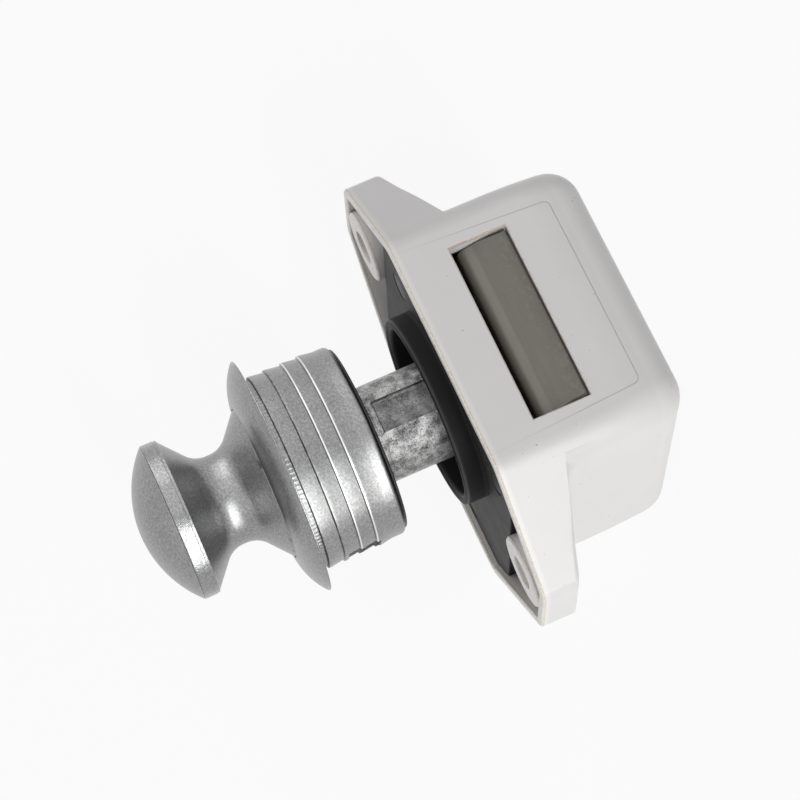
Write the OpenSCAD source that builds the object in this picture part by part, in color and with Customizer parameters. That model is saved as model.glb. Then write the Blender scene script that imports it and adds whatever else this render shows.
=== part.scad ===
// Push button cabinet lock.
// +Y runs from the knob through the door into the lock body, +Z is the way the bolt shoots,
// +X runs along the two fixing ears. The origin is on the shaft's axis in the plane that meets the door.
// The knob stands out and the bolt is drawn in, ready to be pushed.

/* [Door] */
// Thickness of the door panel between the rosette and the lock body
door_t = 22; // [20:0.5:27]
// Diameter of the hole drilled in the door, which the rosette's barbs grip
hole_d = 26; // [25.6:0.1:26.4]

/* [Rosette] */
// Outer diameter of the rosette's flange
flange_d = 31.1; // [30:0.1:34]
// Height of the flange above the door
flange_h = 2.4; // [2.2:0.1:3]
// Radius of the flange's front curve
flange_curve_r = 8.8; // [8.4:0.1:12]
// Diameter of the bore that the knob's base slides in
mouth_d = 20.2; // [19.6:0.1:20.6]
// Distance from one barb to the next
barb_pitch = 2.18; // [1.9:0.02:2.3]
// Depth of a barb below its crest
barb_depth = 0.25; // [0.15:0.05:0.3]
// Length of the collar behind the flange
collar_l = 11.6; // [11.4:0.1:13]
// Width of the windows that the bush clips into
window_w = 5.6; // [4.6:0.1:6.4]
// Angle that the rosette's windows are turned away from the ears, towards the box's lower side
window_turn = 12; // [0:1:30]
// Thickness of the bush's visible disc
bush_disc_t = 0.3; // [0.2:0.1:0.8]
// Thickness of the bush's hub inside the collar
bush_hub_t = 0.8; // [0.6:0.1:1]
// Thickness of the bush's clip arms
bush_arm_t = 0.9; // [0.7:0.1:1]

/* [Knob] */
// Diameter of the knob's head
head_d = 20.7; // [20.5:0.1:22]
// Height of the head's dome
dome_h = 4.25; // [3:0.05:6]
// Length of the head's straight edge
band_l = 2.05; // [1.5:0.05:3]
// Diameter of the knob's waist
waist_d = 11.95; // [11:0.05:13]
// Radius of the fillets at the waist
waist_fillet_r = 3.2; // [2.4:0.1:3.3]
// Angle of the knob's cones from its axis
cone_angle = 50; // [49:1:56]
// Length of the skirt that guides the knob's base in the rosette
skirt_l = 3.3; // [2.5:0.1:3.4]
// How far the knob is pushed in
travel = 9.7; // [9:0.1:9.8]

/* [Shaft] */
// Diameter of the shaft
shaft_d = 12.8; // [12.2:0.1:13]
// Width of the guide groove
groove_w = 4.4; // [3.6:0.1:5]
// Depth of the guide groove
groove_depth = 1.3; // [1:0.1:1.4]
// Diameter of the adjusting stud
stud_d = 5.9; // [5:0.1:6.4]
// Length of the adjusting stud
stud_l = 31.5; // [30:0.1:32]
// How far the stud is screwed into the shaft
stud_grip = 7; // [6:0.1:8]
// Room to screw the knob closer for a thinner door
adjust = 6; // [4:0.5:6]
// Height of the lock nut
nut_h = 3.2; // [2.4:0.1:3.4]
// Width of the lock nut across its flats
nut_af = 10; // [9:0.5:11]
// Diameter of the cross pin that drives the bolt
pin_d = 3; // [2.4:0.1:3]
// Place of the cross pin behind the mounting plane
pin_y = 5.9; // [5.9:0.1:6]
// Distance from the cross pin to the shaft's rear end
pin_to_end = 6.5; // [6:0.1:6.6]

/* [Return spring] */
// Mean diameter of the return spring
spring_d = 7; // [6.4:0.1:7]
// Wire diameter of the return spring
spring_wire = 0.7; // [0.5:0.05:0.8]
// Turns of the return spring
spring_turns = 5; // [4:1:6]
// Diameter of the shaft's bore for the spring
spring_bore_d = 8.4; // [8.2:0.1:8.6]

/* [Bolt] */
// Width of the bolt
bolt_w = 23.9; // [22:0.1:25]
// Thickness of the bolt
bolt_t = 6.5; // [6:0.05:7]
// Place of the bolt's rear face behind the mounting plane
bolt_rear_y = 14.2; // [13:0.05:14.4]
// How far the bolt shoots
throw = 8; // [7:0.1:8]
// Radius of the bolt's edge on the door side
bolt_edge_r = 1.5; // [0.8:0.1:2]
// How much higher the bolt stands on its cabinet side
bolt_rise = 1.2; // [0.6:0.1:1.6]
// Thickness of each cheek of the bolt slide
cheek_t = 3.4; // [2:0.1:3.6]
// Diameter of the roll pins that join the bolt to its slide
roll_pin_d = 1.96; // [1.5:0.01:2.2]

/* [Push catch] */
// Width of the heart cam
cam_w = 10; // [9.8:0.1:10.6]
// Depth of the heart cam's track
track_depth = 1.4; // [1.2:0.1:1.6]
// Width of the heart cam's track
track_w = 1.7; // [1.6:0.1:1.9]
// Wire diameter of the catch
catch_wire_d = 1.1; // [0.8:0.05:1.1]
// Length of the catch's arm
catch_l = 11.8; // [11:0.1:12]
// How far the catch's tip moves sideways
catch_shift = 2; // [1.5:0.1:2.1]
// Thickness of the leaf spring behind the catch
leaf_t = 0.3; // [0.2:0.05:0.35]

/* [Lock body] */
// Length of the box along the ears
box_l = 36; // [34.4:0.1:37]
// Depth of the box behind the door
box_depth = 25.2; // [24.6:0.1:27]
// Height of the box above the shaft's axis
box_up = 18.2; // [17.6:0.1:19]
// Depth of the box below the shaft's axis
box_down = 23.8; // [21.6:0.1:25]
// Wall thickness of the box
wall = 1.8; // [1.6:0.1:1.9]
// Wall thickness of the lip that meets the door
lip_wall = 1.3; // [1.1:0.1:1.4]
// Draft of the box's sides over its whole depth
draft = 0.3; // [0.2:0.1:0.5]
// Radius of the box's edges at the back
box_edge_r = 4; // [3:0.1:4.4]
// Radius of the box's edges at the door
lip_edge_r = 1.5; // [1:0.1:2]
// Length over both ears
ear_span = 60; // [59.4:0.1:64]
// Half width of an ear at its tip
ear_half_w = 7.8; // [7.2:0.1:9]
// Radius of an ear's tip corners
ear_tip_r = 2.6; // [2:0.1:4]
// Thickness of an ear at its tip
ear_tip_t = 4.9; // [4.6:0.1:5.4]
// Thickness of an ear where it meets the box
ear_root_t = 8.3; // [8:0.1:9]
// Distance between the two fixing screws
screw_spacing = 48; // [47.6:0.1:49]
// Diameter of the fixing screw holes
screw_hole_d = 4.5; // [4:0.1:5]
// Diameter of the bosses round the fixing screw holes
boss_d = 9.5; // [8.5:0.1:10]

/* [Base plate] */
// Thickness of the base plate
plate_t = 2.2; // [2:0.1:2.4]
// How far the base plate lies below the lip
plate_recess = 0.8; // [0.6:0.1:1]
// Outer diameter of the spigot ring that enters the door's hole
spigot_d = 25.4; // [25:0.1:25.5]
// Wall thickness of the spigot ring
spigot_wall = 1.4; // [1.2:0.1:2]
// How far the spigot ring stands into the door's hole
spigot_h = 2.2; // [1.5:0.1:3]
// Diameter of the base plate's screws
plate_screw_d = 1.8; // [1.6:0.1:2]

/* [Hidden] */
$fn = 96;
// Clearances
run_gap = 0.05;
slide_gap = 0.15;
loose_gap = 0.3;
seat_gap = 0.1;
cut = 1;
// Places along the shaft
seat_y = -door_t;
mouth_y = seat_y - flange_h;
collar_end_y = seat_y + collar_l;
head_reach = 0.6;
head_y = mouth_y - travel - head_reach;
dome_y = head_y - band_l;
knob_rear_y = mouth_y + skirt_l;
nut_y = knob_rear_y + seat_gap;
shaft_front_y = nut_y + nut_h + adjust + seat_gap;
shaft_rear_y = pin_y + pin_to_end;
stud_rear_y = shaft_front_y + stud_grip;
stud_front_y = stud_rear_y - stud_l;
groove_y = pin_y - travel - 4.8;
// Radii
flange_r = flange_d / 2;
crest_r = hole_d / 2;
root_r = crest_r - barb_depth;
land_r = root_r - 0.05;
neck_r = crest_r - 0.4;
mouth_r = mouth_d / 2;
head_r = head_d / 2;
waist_r = waist_d / 2;
base_r = mouth_r - slide_gap;
shaft_r = shaft_d / 2;
sleeve_r = shaft_r + run_gap;
pin_r = pin_d / 2;
stud_hole_r = stud_d / 2 + run_gap;
// Box
half_l = box_l / 2;
plate_rear_y = plate_recess + plate_t;
inner_x = half_l - wall;
inner_y = box_depth - wall;
inner_up = box_up - wall;
inner_down = box_down - wall;
back_step = box_edge_r - wall;
screw_x = screw_spacing / 2;
ear_x = ear_span / 2;
// Bolt and its slide
bolt_front_y = bolt_rear_y - bolt_t;
slot_gap_front = 0.9;
bolt_top_z = box_up - loose_gap;
bolt_base_z = shaft_r + loose_gap + 2.9;
cheek_x = shaft_r + 0.4;
cheek_out_x = cheek_x + cheek_t;
tongue_h = 3.8;
tongue_x = bolt_w / 2 - 2.75;
tongue_wall = 1.45;
bolt_slope = throw / travel;
slide_front_y = plate_rear_y + loose_gap;
slide_rear_y = pin_y + travel + pin_r + 1.2;
slide_low_z = -throw - pin_r - 2.3;
roll_x = 6.5;
roll_z = bolt_base_z + 2;
// Push catch: pad, leaf spring and wire lie against the box's end, and the cam fills the room up to the wire
cam_front_y = plate_rear_y + 2;
cam_rear_y = cam_front_y + cam_w;
catch_y = cam_front_y + cam_w / 2;
catch_pad_t = 0.4;
catch_half_w = 2;
leaf_gap = 0.2;
leaf_x = inner_x - catch_pad_t - leaf_t;
catch_x = leaf_x - leaf_gap - catch_wire_d / 2;
cam_x = catch_x - catch_wire_d / 2 - loose_gap;
track_top_z = -4.4;
track_low_z = track_top_z - throw - 0.5;
cam_top_z = track_top_z + 1.8;
cam_low_z = track_low_z - 2.1;
catch_pivot_z = track_top_z - catch_l;
leaf_top_z = track_top_z - 0.6;
peg_r = 0.75;
peg_places = [[catch_y - 2, track_low_z + 4.4], [catch_y + 4, track_top_z + 1.1]];
// Base plate screws and their pillars, as X and Z
pillar_r = 1.9;
pillar_x = inner_x - pillar_r - 0.2;
pillar_low_z = pillar_r - 0.4 - inner_down;
pillar_places = [[pillar_x, 7.6], [-pillar_x, 7.6], [7.4, pillar_low_z], [-7.4, pillar_low_z]];
plate_screw_l = 8.5;

// Points along an arc, from angle a0 to a1 round (x, y)
function arc(x, y, r, a0, a1, n) =
    [for (i = [0:n]) [x + r * cos(a0 + (a1 - a0) * i / n), y + r * sin(a0 + (a1 - a0) * i / n)]];

// Solid turned about the Y axis from an outline of [radius, y]
module turned(outline) rotate([-90, 0, 0]) rotate_extrude() polygon(outline);

// Round bars along each axis
module rod_x(r, x0, x1) translate([x0, 0, 0]) rotate([0, 90, 0]) cylinder(r = r, h = x1 - x0);
module rod_y(r, y0, y1) translate([0, y0, 0]) rotate([-90, 0, 0]) cylinder(r = r, h = y1 - y0);
module rod_z(r, z0, z1) translate([0, 0, z0]) cylinder(r = r, h = z1 - z0);

// Block between two corners
module block(low, high) translate(low) cube(high - low);

// Outline of [y, z] pushed out along X
module along_x(x0, x1, outline)
    translate([x0, 0, 0]) rotate([90, 0, 90]) linear_extrude(x1 - x0) polygon(outline);

// Outline of [x, z] pushed out along Y
module along_y(y0, y1, outline)
    translate([0, y1, 0]) rotate([90, 0, 0]) linear_extrude(y1 - y0) polygon(outline);

// Copies on both ends of the lock body
module both_ends() {
    children();
    mirror([1, 0, 0]) children();
}

// Lock body

// How far an ear's edges lie below the box's sides
ear_sink = 0.05;

// One edge of an ear from its root to its tip, drawn in by inset: it leaves the box's rounded edge
// and the tip's round corner at a tangent
function ear_edge(height, inset) = let (
    root = [half_l - lip_edge_r, height - lip_edge_r],
    tip = [ear_x - ear_tip_r, ear_half_w - ear_tip_r],
    run = tip - root,
    lean = atan2(run[1], run[0]) + acos((lip_edge_r - ear_tip_r) / norm(run))
) concat(
    [[half_l - box_edge_r, height - inset]],
    arc(root[0], root[1], max(lip_edge_r - inset, 0.1), 90, lean, 6),
    arc(tip[0], tip[1], ear_tip_r - inset, lean, 0, 6)
);

// Outline of one ear in the mounting plane, drawn in by inset
function ear_plan(inset) = let (
    upper = ear_edge(box_up - ear_sink, inset),
    lower = ear_edge(box_down - ear_sink, inset),
    last = len(upper) - 1
) concat([for (p = lower) [p[0], -p[1]]], [for (i = [last:-1:0]) upper[i]]);

// Side view of one ear: it thickens from its tip to its root and ends in a fillet up the box's end
ear_side = let (
    fillet_r = 1.8,
    corner_r = 0.8,
    slope = atan((ear_root_t - ear_tip_t) / (ear_x - half_l)),
    fillet_y = ear_root_t + fillet_r * (1 / cos(slope) - tan(slope)),
    corner_y = ear_tip_t - corner_r * (1 / cos(slope) - tan(slope))
) concat(
    [[half_l - box_edge_r, 0], [ear_x, 0]],
    arc(ear_x - corner_r, corner_y, corner_r, 0, 90 - slope, 5),
    arc(half_l + fillet_r - 0.1, fillet_y, fillet_r, -90 - slope, -180, 8),
    [[half_l - box_edge_r, fillet_y]]
);

module ear() intersection() {
    along_y(0, ear_root_t + 10, ear_plan(0));
    translate([0, 0, -box_down]) linear_extrude(box_down + box_up) polygon(ear_side);
}

// Everything inside the lip, drawn in by inset
module lip_plan(y0, y1, inset) {
    middle_x = half_l - box_edge_r;
    block([-middle_x, y0, inset - box_down], [middle_x, y1, box_up - inset]);
    both_ends() along_y(y0, y1, ear_plan(inset));
}

// The box: flat at the door, with edges that grow rounder to the back
module box_body() hull() {
    for (x = [-1, 1]) {
        for (z = [lip_edge_r - box_down, box_up - lip_edge_r]) {
            translate([x * (half_l - lip_edge_r), 0, z]) rod_y(lip_edge_r, 0, 0.5, $fn = 32);
        }
        for (z = [box_edge_r + draft / 2 - box_down, box_up - draft / 2 - box_edge_r]) {
            translate([x * (half_l - draft - box_edge_r), box_depth - box_edge_r, z])
                sphere(r = box_edge_r, $fn = 32);
        }
    }
}

module housing() color("gainsboro") {
    difference() {
        union() {
            box_body();
            both_ends() ear();
        }
        // Inside of the box, drawn in at the back where its edges are round
        block([-inner_x, -cut, -inner_down], [inner_x, inner_y - back_step, inner_up]);
        block(
            [back_step - inner_x, -cut, back_step - inner_down],
            [inner_x - back_step, inner_y, inner_up - back_step]
        );
        // Seat of the base plate
        lip_plan(-cut, plate_rear_y, lip_wall);
        // Hollow ears, which leave the screw bosses
        both_ends() difference() {
            intersection() {
                along_y(0, box_depth, ear_plan(lip_wall + 0.3));
                translate([0, 0, -box_down]) linear_extrude(box_down + box_up) polygon([
                    [half_l + 1.6, 0], [ear_x - 2.6, 0],
                    [ear_x - 2.6, ear_tip_t - 0.8], [half_l + 1.6, ear_root_t - wall - 0.5]
                ]);
            }
            translate([screw_x, 0, 0]) rod_y(boss_d / 2, 0, box_depth);
        }
        // Slot for the bolt
        block(
            [-bolt_w / 2 - slide_gap, bolt_front_y - slot_gap_front, inner_up - cut],
            [bolt_w / 2 + slide_gap, bolt_rear_y + slide_gap, box_up + cut]
        );
        // Socket for the catch's pivot
        translate([0, catch_y, catch_pivot_z])
            rod_x(catch_wire_d / 2 + run_gap, inner_x - cut, inner_x + wall / 2 + 0.1);
        both_ends() translate([screw_x, 0, 0]) rod_y(screw_hole_d / 2, -cut, box_depth);
    }
    // Fixing screw bosses, up to the mounting plane
    both_ends() translate([screw_x, 0, 0]) difference() {
        rod_y(boss_d / 2, 0, plate_rear_y + 2);
        rod_y(screw_hole_d / 2, -cut, box_depth);
    }
    // Ribs that guide the bolt slide along the back wall
    both_ends() block(
        [cheek_x + 0.2, slide_rear_y + slide_gap, back_step - inner_down - 0.5],
        [cheek_out_x - 0.2, inner_y + 0.5, inner_up - back_step + 0.5]
    );
    // Post inside the return spring
    rod_y(spring_d / 2 - 1.5, inner_y - 4.1, inner_y + 0.5);
    // Pillars for the base plate's screws
    for (p = pillar_places) {
        translate([p[0], 0, p[1]]) difference() {
            rod_y(pillar_r, plate_rear_y, inner_y + 0.5);
            rod_y(plate_screw_d / 2, plate_rear_y - cut, plate_rear_y + plate_screw_l);
        }
    }
    // Pad that the leaf spring is fixed to
    block(
        [inner_x - catch_pad_t, catch_y - catch_half_w, leaf_top_z - 2.4],
        [inner_x + 0.5, catch_y + catch_half_w, leaf_top_z]
    );
}

module base_plate() color("#1c1c1e") {
    plate_inset = lip_wall + seat_gap;
    difference() {
        intersection() {
            lip_plan(plate_recess, plate_rear_y, plate_inset);
            block([-half_l - 1, 0, -box_down], [half_l + 1, box_depth, box_up]);
        }
        rod_y(sleeve_r, -cut, box_depth);
        for (p = pillar_places) {
            translate([p[0], 0, p[1]]) {
                rod_y(plate_screw_d / 2 + slide_gap, 0, box_depth);
                translate([0, plate_recess, 0]) rotate([-90, 0, 0])
                    cylinder(r1 = plate_screw_d + 0.1, r2 = plate_screw_d / 2 + slide_gap, h = 1.1);
            }
        }
    }
    // Spigot ring with a chamfered mouth
    turned([
        [spigot_d / 2 - spigot_wall, plate_recess + 0.4], [spigot_d / 2 - spigot_wall, 0.5 - spigot_h],
        [spigot_d / 2 - spigot_wall + 0.5, -spigot_h], [spigot_d / 2 - 0.3, -spigot_h],
        [spigot_d / 2, 0.3 - spigot_h], [spigot_d / 2, plate_recess + 0.4]
    ]);
    // Key that runs in the shaft's groove
    block(
        [slide_gap - groove_w / 2, plate_rear_y - 1.4, shaft_r - groove_depth + slide_gap],
        [groove_w / 2 - slide_gap, plate_rear_y, sleeve_r + 0.5]
    );
    // Rails beside the bolt slide's cheeks
    both_ends() block(
        [cheek_out_x + 0.2, plate_rear_y - 0.5, slide_low_z - 1.5],
        [cheek_out_x + 1.8, plate_rear_y + 1.7, pillar_places[0][1] - pillar_r - 0.6]
    );
}

// Four countersunk screws
module plate_screws() color("silver") for (p = pillar_places) {
    translate([p[0], 0, p[1]]) {
        translate([0, plate_recess + 0.1, 0]) rotate([-90, 0, 0])
            cylinder(r1 = plate_screw_d, r2 = plate_screw_d / 2 - 0.05, h = 0.95);
        rod_y(plate_screw_d / 2 - 0.05, plate_recess + 0.5, plate_rear_y + plate_screw_l - 1);
    }
}

// Leaf spring that keeps the catch's tip in the track
module catch_leaf() color("silver")
    block(
        [leaf_x, catch_y - catch_half_w, catch_pivot_z + 1.6],
        [leaf_x + leaf_t, catch_y + catch_half_w, leaf_top_z]
    );

// Plunger

module shaft() color("darkgray") difference() {
    turned([
        [0, shaft_front_y], [shaft_r - 0.4, shaft_front_y], [shaft_r, shaft_front_y + 0.4],
        [shaft_r, shaft_rear_y - 0.5], [shaft_r - 0.5, shaft_rear_y], [0, shaft_rear_y]
    ]);
    // Hole for the stud
    rod_y(stud_hole_r, shaft_front_y - cut, stud_rear_y + adjust + loose_gap);
    // Hole for the cross pin
    translate([0, pin_y, 0]) rod_x(pin_r + run_gap / 2, -shaft_r - cut, shaft_r + cut);
    // Bore for the return spring
    rod_y(spring_bore_d / 2, pin_y + pin_r + 1, shaft_rear_y + cut);
    // Flat-bottomed guide groove
    block([-groove_w / 2, groove_y, shaft_r - groove_depth], [groove_w / 2, shaft_rear_y + cut, shaft_r + cut]);
}

module cam_pin() color("silver")
    translate([0, pin_y, 0]) rod_x(pin_r, 0.2 - cheek_out_x, cheek_out_x - 0.2);

// Return spring: one closed turn at each end and open turns between
spring_front_y = pin_y + pin_r + 1 + spring_wire / 2 + run_gap;
spring_rear_y = inner_y - spring_wire / 2 - run_gap;
spring_end_pitch = spring_wire + 0.45;
spring_rings = 12;
function spring_y(turn) = let (
    open_turns = spring_turns - 2,
    open_l = spring_rear_y - spring_front_y - 2 * spring_end_pitch
)
    turn < 1 ? spring_front_y + turn * spring_end_pitch :
    turn > spring_turns - 1 ? spring_rear_y - (spring_turns - turn) * spring_end_pitch :
    spring_front_y + spring_end_pitch + (turn - 1) * open_l / open_turns;

module return_spring() color("lightgray") {
    sides = 6;
    rings = spring_turns * spring_rings;
    points = [for (k = [0:rings]) let (turn = k / spring_rings, a = 360 * turn)
        for (j = [0:sides - 1]) let (b = 360 * j / sides, r = spring_d / 2 + spring_wire / 2 * cos(b))
            [r * cos(a), spring_y(turn) + spring_wire / 2 * sin(b), r * sin(a)]];
    skin = [for (k = [0:rings - 1]) for (j = [0:sides - 1]) let (
        a = k * sides + j,
        b = k * sides + (j + 1) % sides
    ) each [[a, b, a + sides], [b, b + sides, a + sides]]];
    ends = [[for (j = [sides - 1:-1:0]) j], [for (j = [0:sides - 1]) rings * sides + j]];
    polyhedron(points, concat(skin, ends));
}

module adjust_stud() color("silver") turned([
    [0, stud_front_y], [stud_d / 2 - 0.5, stud_front_y], [stud_d / 2, stud_front_y + 0.5],
    [stud_d / 2, stud_rear_y - 0.5], [stud_d / 2 - 0.5, stud_rear_y], [0, stud_rear_y]
]);

module lock_nut() color("silver") difference() {
    translate([0, nut_y, 0]) rotate([-90, 0, 0]) cylinder(r = nut_af / 2 / cos(30), h = nut_h, $fn = 6);
    rod_y(stud_hole_r, nut_y - cut, nut_y + nut_h + cut);
}

// Knob: domed head, straight edge, a cone to the waist and a cone out to the base
module knob() color("silver") {
    dome_r = (pow(head_r, 2) + pow(dome_h, 2)) / (2 * dome_h);
    dome_angle = asin(head_r / dome_r);
    edge = 0.2;
    fillet_in = waist_fillet_r * (1 - cos(cone_angle));
    head_run = waist_fillet_r * sin(cone_angle) + (head_r - edge - waist_r - fillet_in) / tan(cone_angle);
    base_run = waist_fillet_r * sin(cone_angle) + (base_r - waist_r - fillet_in) / tan(cone_angle);
    fillet_x = waist_r + waist_fillet_r;
    difference() {
        turned(concat(
            arc(0, dome_y - dome_h + dome_r, dome_r, -90, dome_angle - 90, 24),
            [[head_r, dome_y + edge], [head_r, head_y - edge], [head_r - edge, head_y]],
            arc(fillet_x, head_y + head_run, waist_fillet_r, 180 + cone_angle, 180, 10),
            arc(fillet_x, mouth_y - base_run, waist_fillet_r, 180, 180 - cone_angle, 10),
            [[base_r, mouth_y], [base_r, knob_rear_y - edge], [base_r - edge, knob_rear_y], [0, knob_rear_y]]
        ));
        rod_y(stud_hole_r, stud_front_y - loose_gap, knob_rear_y + cut);
    }
}

// Bolt

module bolt() color("#6c6a62") {
    edge_z = bolt_top_z - bolt_rise;
    lip_r = 0.4;
    chamfer = 0.4;
    profile = concat(
        [[bolt_rear_y, bolt_base_z], [bolt_rear_y, bolt_top_z - lip_r]],
        arc(bolt_rear_y - lip_r, bolt_top_z - lip_r, lip_r, 0, 90, 4),
        [[bolt_rear_y - bolt_t / 3, bolt_top_z - bolt_rise / 7]],
        arc(bolt_front_y + bolt_edge_r, edge_z - bolt_edge_r, bolt_edge_r, 100, 180, 8),
        [[bolt_front_y, bolt_base_z]]
    );
    end_view = [
        [-bolt_w / 2, bolt_base_z], [-bolt_w / 2, bolt_top_z - chamfer * 2], [chamfer - bolt_w / 2, bolt_top_z],
        [bolt_w / 2 - chamfer, bolt_top_z], [bolt_w / 2, bolt_top_z - chamfer * 2], [bolt_w / 2, bolt_base_z]
    ];
    difference() {
        intersection() {
            along_x(-bolt_w / 2, bolt_w / 2, profile);
            along_y(bolt_front_y, bolt_rear_y, end_view);
        }
        // Pocket for the slide's tongue
        block(
            [-tongue_x - run_gap, bolt_front_y + tongue_wall - run_gap, bolt_base_z - cut],
            [tongue_x + run_gap, bolt_rear_y - tongue_wall + run_gap, bolt_base_z + tongue_h + run_gap]
        );
        for (x = [-roll_x, roll_x]) {
            translate([x, 0, roll_z]) rod_y(roll_pin_d / 2 + run_gap / 2, bolt_front_y - cut, bolt_rear_y + cut);
        }
    }
}

// Slot that turns the push of the cross pin into the bolt's throw
module drive_slot() {
    slot_r = pin_r + run_gap;
    angle = atan(bolt_slope);
    translate([-bolt_w, pin_y, 0]) {
        rod_x(slot_r, 0, 2 * bolt_w);
        translate([0, travel, -throw]) rod_x(slot_r, 0, 2 * bolt_w);
        rotate([-angle, 0, 0]) block([0, 0, -slot_r], [2 * bolt_w, travel / cos(angle), slot_r]);
    }
}

module bolt_slide() color("whitesmoke") {
    bar_y0 = bolt_front_y;
    bar_y1 = bolt_rear_y;
    bar_z = shaft_r + loose_gap;
    difference() {
        union() {
            both_ends() along_x(cheek_x, cheek_out_x, [
                [slide_front_y, slide_low_z / 2.4], [slide_front_y, pin_r + 2.3],
                [bar_y0, bar_z], [bar_y0, bolt_base_z], [bar_y1, bolt_base_z], [bar_y1, bar_z],
                [slide_rear_y, 0.5], [slide_rear_y, slide_low_z], [slide_rear_y - travel + 0.9, slide_low_z]
            ]);
            block([-cheek_out_x, bar_y0, bar_z], [cheek_out_x, bar_y1, bolt_base_z]);
            // Tongue inside the bolt
            block(
                [-tongue_x, bar_y0 + tongue_wall, bolt_base_z - 0.5],
                [tongue_x, bar_y1 - tongue_wall, bolt_base_z + tongue_h]
            );
        }
        drive_slot();
        for (x = [-roll_x, roll_x]) {
            translate([x, 0, roll_z]) rod_y(roll_pin_d / 2 + run_gap / 2, bar_y0 - cut, bar_y1 + cut);
        }
        for (p = peg_places) {
            translate([0, p[0], p[1]]) rod_x(peg_r + run_gap, cheek_x - cut, cheek_out_x + cut);
        }
    }
}

module roll_pins() color("silver") for (x = [-roll_x, roll_x]) {
    translate([x, 0, roll_z]) rod_y(roll_pin_d / 2, bolt_front_y + 0.2, bolt_rear_y - 0.2);
}

// Push catch: a wire follows a heart-shaped track and holds the bolt out until the next push

// One straight stretch of track between two places [y, z]
module track(a, b) {
    run = norm(b - a);
    angle = atan2(b[1] - a[1], b[0] - a[0]);
    translate([cam_x - track_depth, a[0], a[1]]) {
        rod_x(track_w / 2, 0, track_depth + cut);
        rotate([angle, 0, 0]) block([0, 0, -track_w / 2], [track_depth + cut, run, track_w / 2]);
    }
    translate([0, b[0], b[1]]) rod_x(track_w / 2, cam_x - track_depth, cam_x + cut);
}

module heart_cam() color("ivory") {
    start = [catch_y, track_top_z];
    notch = [catch_y - catch_shift, track_low_z];
    low = [catch_y + 0.9, track_low_z + 0.2];
    side = [catch_y + 2.6, track_low_z + 3];
    difference() {
        block([cheek_out_x, cam_front_y, cam_low_z], [cam_x, cam_rear_y, cam_top_z]);
        track(start, notch);
        track(notch, low);
        track(low, side);
        track(side, start);
    }
    for (p = peg_places) {
        translate([0, p[0], p[1]]) rod_x(peg_r, cheek_x + 0.4, cheek_out_x + 0.4);
    }
}

module catch_wire() color("silver") {
    r = catch_wire_d / 2;
    tip_x = cam_x - track_depth + loose_gap;
    translate([0, catch_y, catch_pivot_z]) {
        rod_x(r, catch_x, inner_x + wall / 2 - 0.1);
        translate([catch_x, 0, 0]) {
            sphere(r = r, $fn = 24);
            rod_z(r, 0, catch_l);
        }
        translate([0, 0, catch_l]) {
            translate([catch_x, 0, 0]) sphere(r = r, $fn = 24);
            rod_x(r, tip_x, catch_x);
        }
    }
}

// Rosette

// Clip windows, one near each ear
window_y0 = seat_y + 0.9 + barb_pitch + 0.5;
window_y1 = window_y0 + 2 * barb_pitch;

module rosette() color("silver") {
    edge_y = mouth_y + flange_curve_r;
    curve_x = mouth_r - 0.4;
    rim_angle = asin((flange_r - curve_x) / flange_curve_r);
    front_angle = asin(0.9 / flange_curve_r);
    barb_y = seat_y + 0.9;
    crest_l = 0.25;
    arm_room = mouth_r + slide_gap + bush_arm_t + slide_gap;
    difference() {
        turned(concat(
            [[mouth_r, mouth_y]],
            arc(curve_x, edge_y, flange_curve_r, front_angle - 90, rim_angle - 90, 16),
            [[flange_r, seat_y], [neck_r, seat_y], [neck_r, barb_y - 0.1]],
            [for (i = [0:3]) each [
                [crest_r, barb_y + i * barb_pitch], [crest_r, barb_y + i * barb_pitch + crest_l],
                i < 3 ? [root_r, barb_y + (i + 1) * barb_pitch - 0.1] : [land_r, barb_y + 4 * barb_pitch]
            ]],
            arc(land_r - 0.7, collar_end_y - 0.7, 0.7, 0, 90, 6),
            [[mouth_r, collar_end_y]]
        ));
        // Windows and the channels that the bush's arms lie in
        rotate([0, window_turn, 0]) both_ends() {
            block([mouth_r - cut, window_y0, -window_w / 2], [crest_r + cut, window_y1, window_w / 2]);
            block([mouth_r - cut, window_y0, -window_w / 2], [arm_room, collar_end_y + cut, window_w / 2]);
        }
    }
}

// Bush that centres the shaft, with two clip arms
module rosette_bush() color("#1c1c1e") {
    arm_x = mouth_r + slide_gap;
    half_w = window_w / 2 - slide_gap;
    difference() {
        union() {
            rod_y(land_r - 0.55, collar_end_y, collar_end_y + bush_disc_t);
            rod_y(mouth_r - run_gap, collar_end_y - bush_hub_t, collar_end_y + 0.1);
        }
        rod_y(sleeve_r, collar_end_y - 5, collar_end_y + 5);
    }
    rotate([0, window_turn, 0]) both_ends() {
        block([arm_x, window_y0 + slide_gap, -half_w], [arm_x + bush_arm_t, collar_end_y + 0.1, half_w]);
        block([arm_x, window_y0 + slide_gap, -half_w], [root_r - 0.5, window_y0 + 1.9, half_w]);
    }
}

housing();
base_plate();
plate_screws();
catch_leaf();
shaft();
cam_pin();
return_spring();
adjust_stud();
lock_nut();
knob();
bolt();
bolt_slide();
roll_pins();
heart_cam();
catch_wire();
rosette();
rosette_bush();
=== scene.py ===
import math

import bmesh
import bpy
import numpy as np
from mathutils import Matrix, Vector


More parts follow.
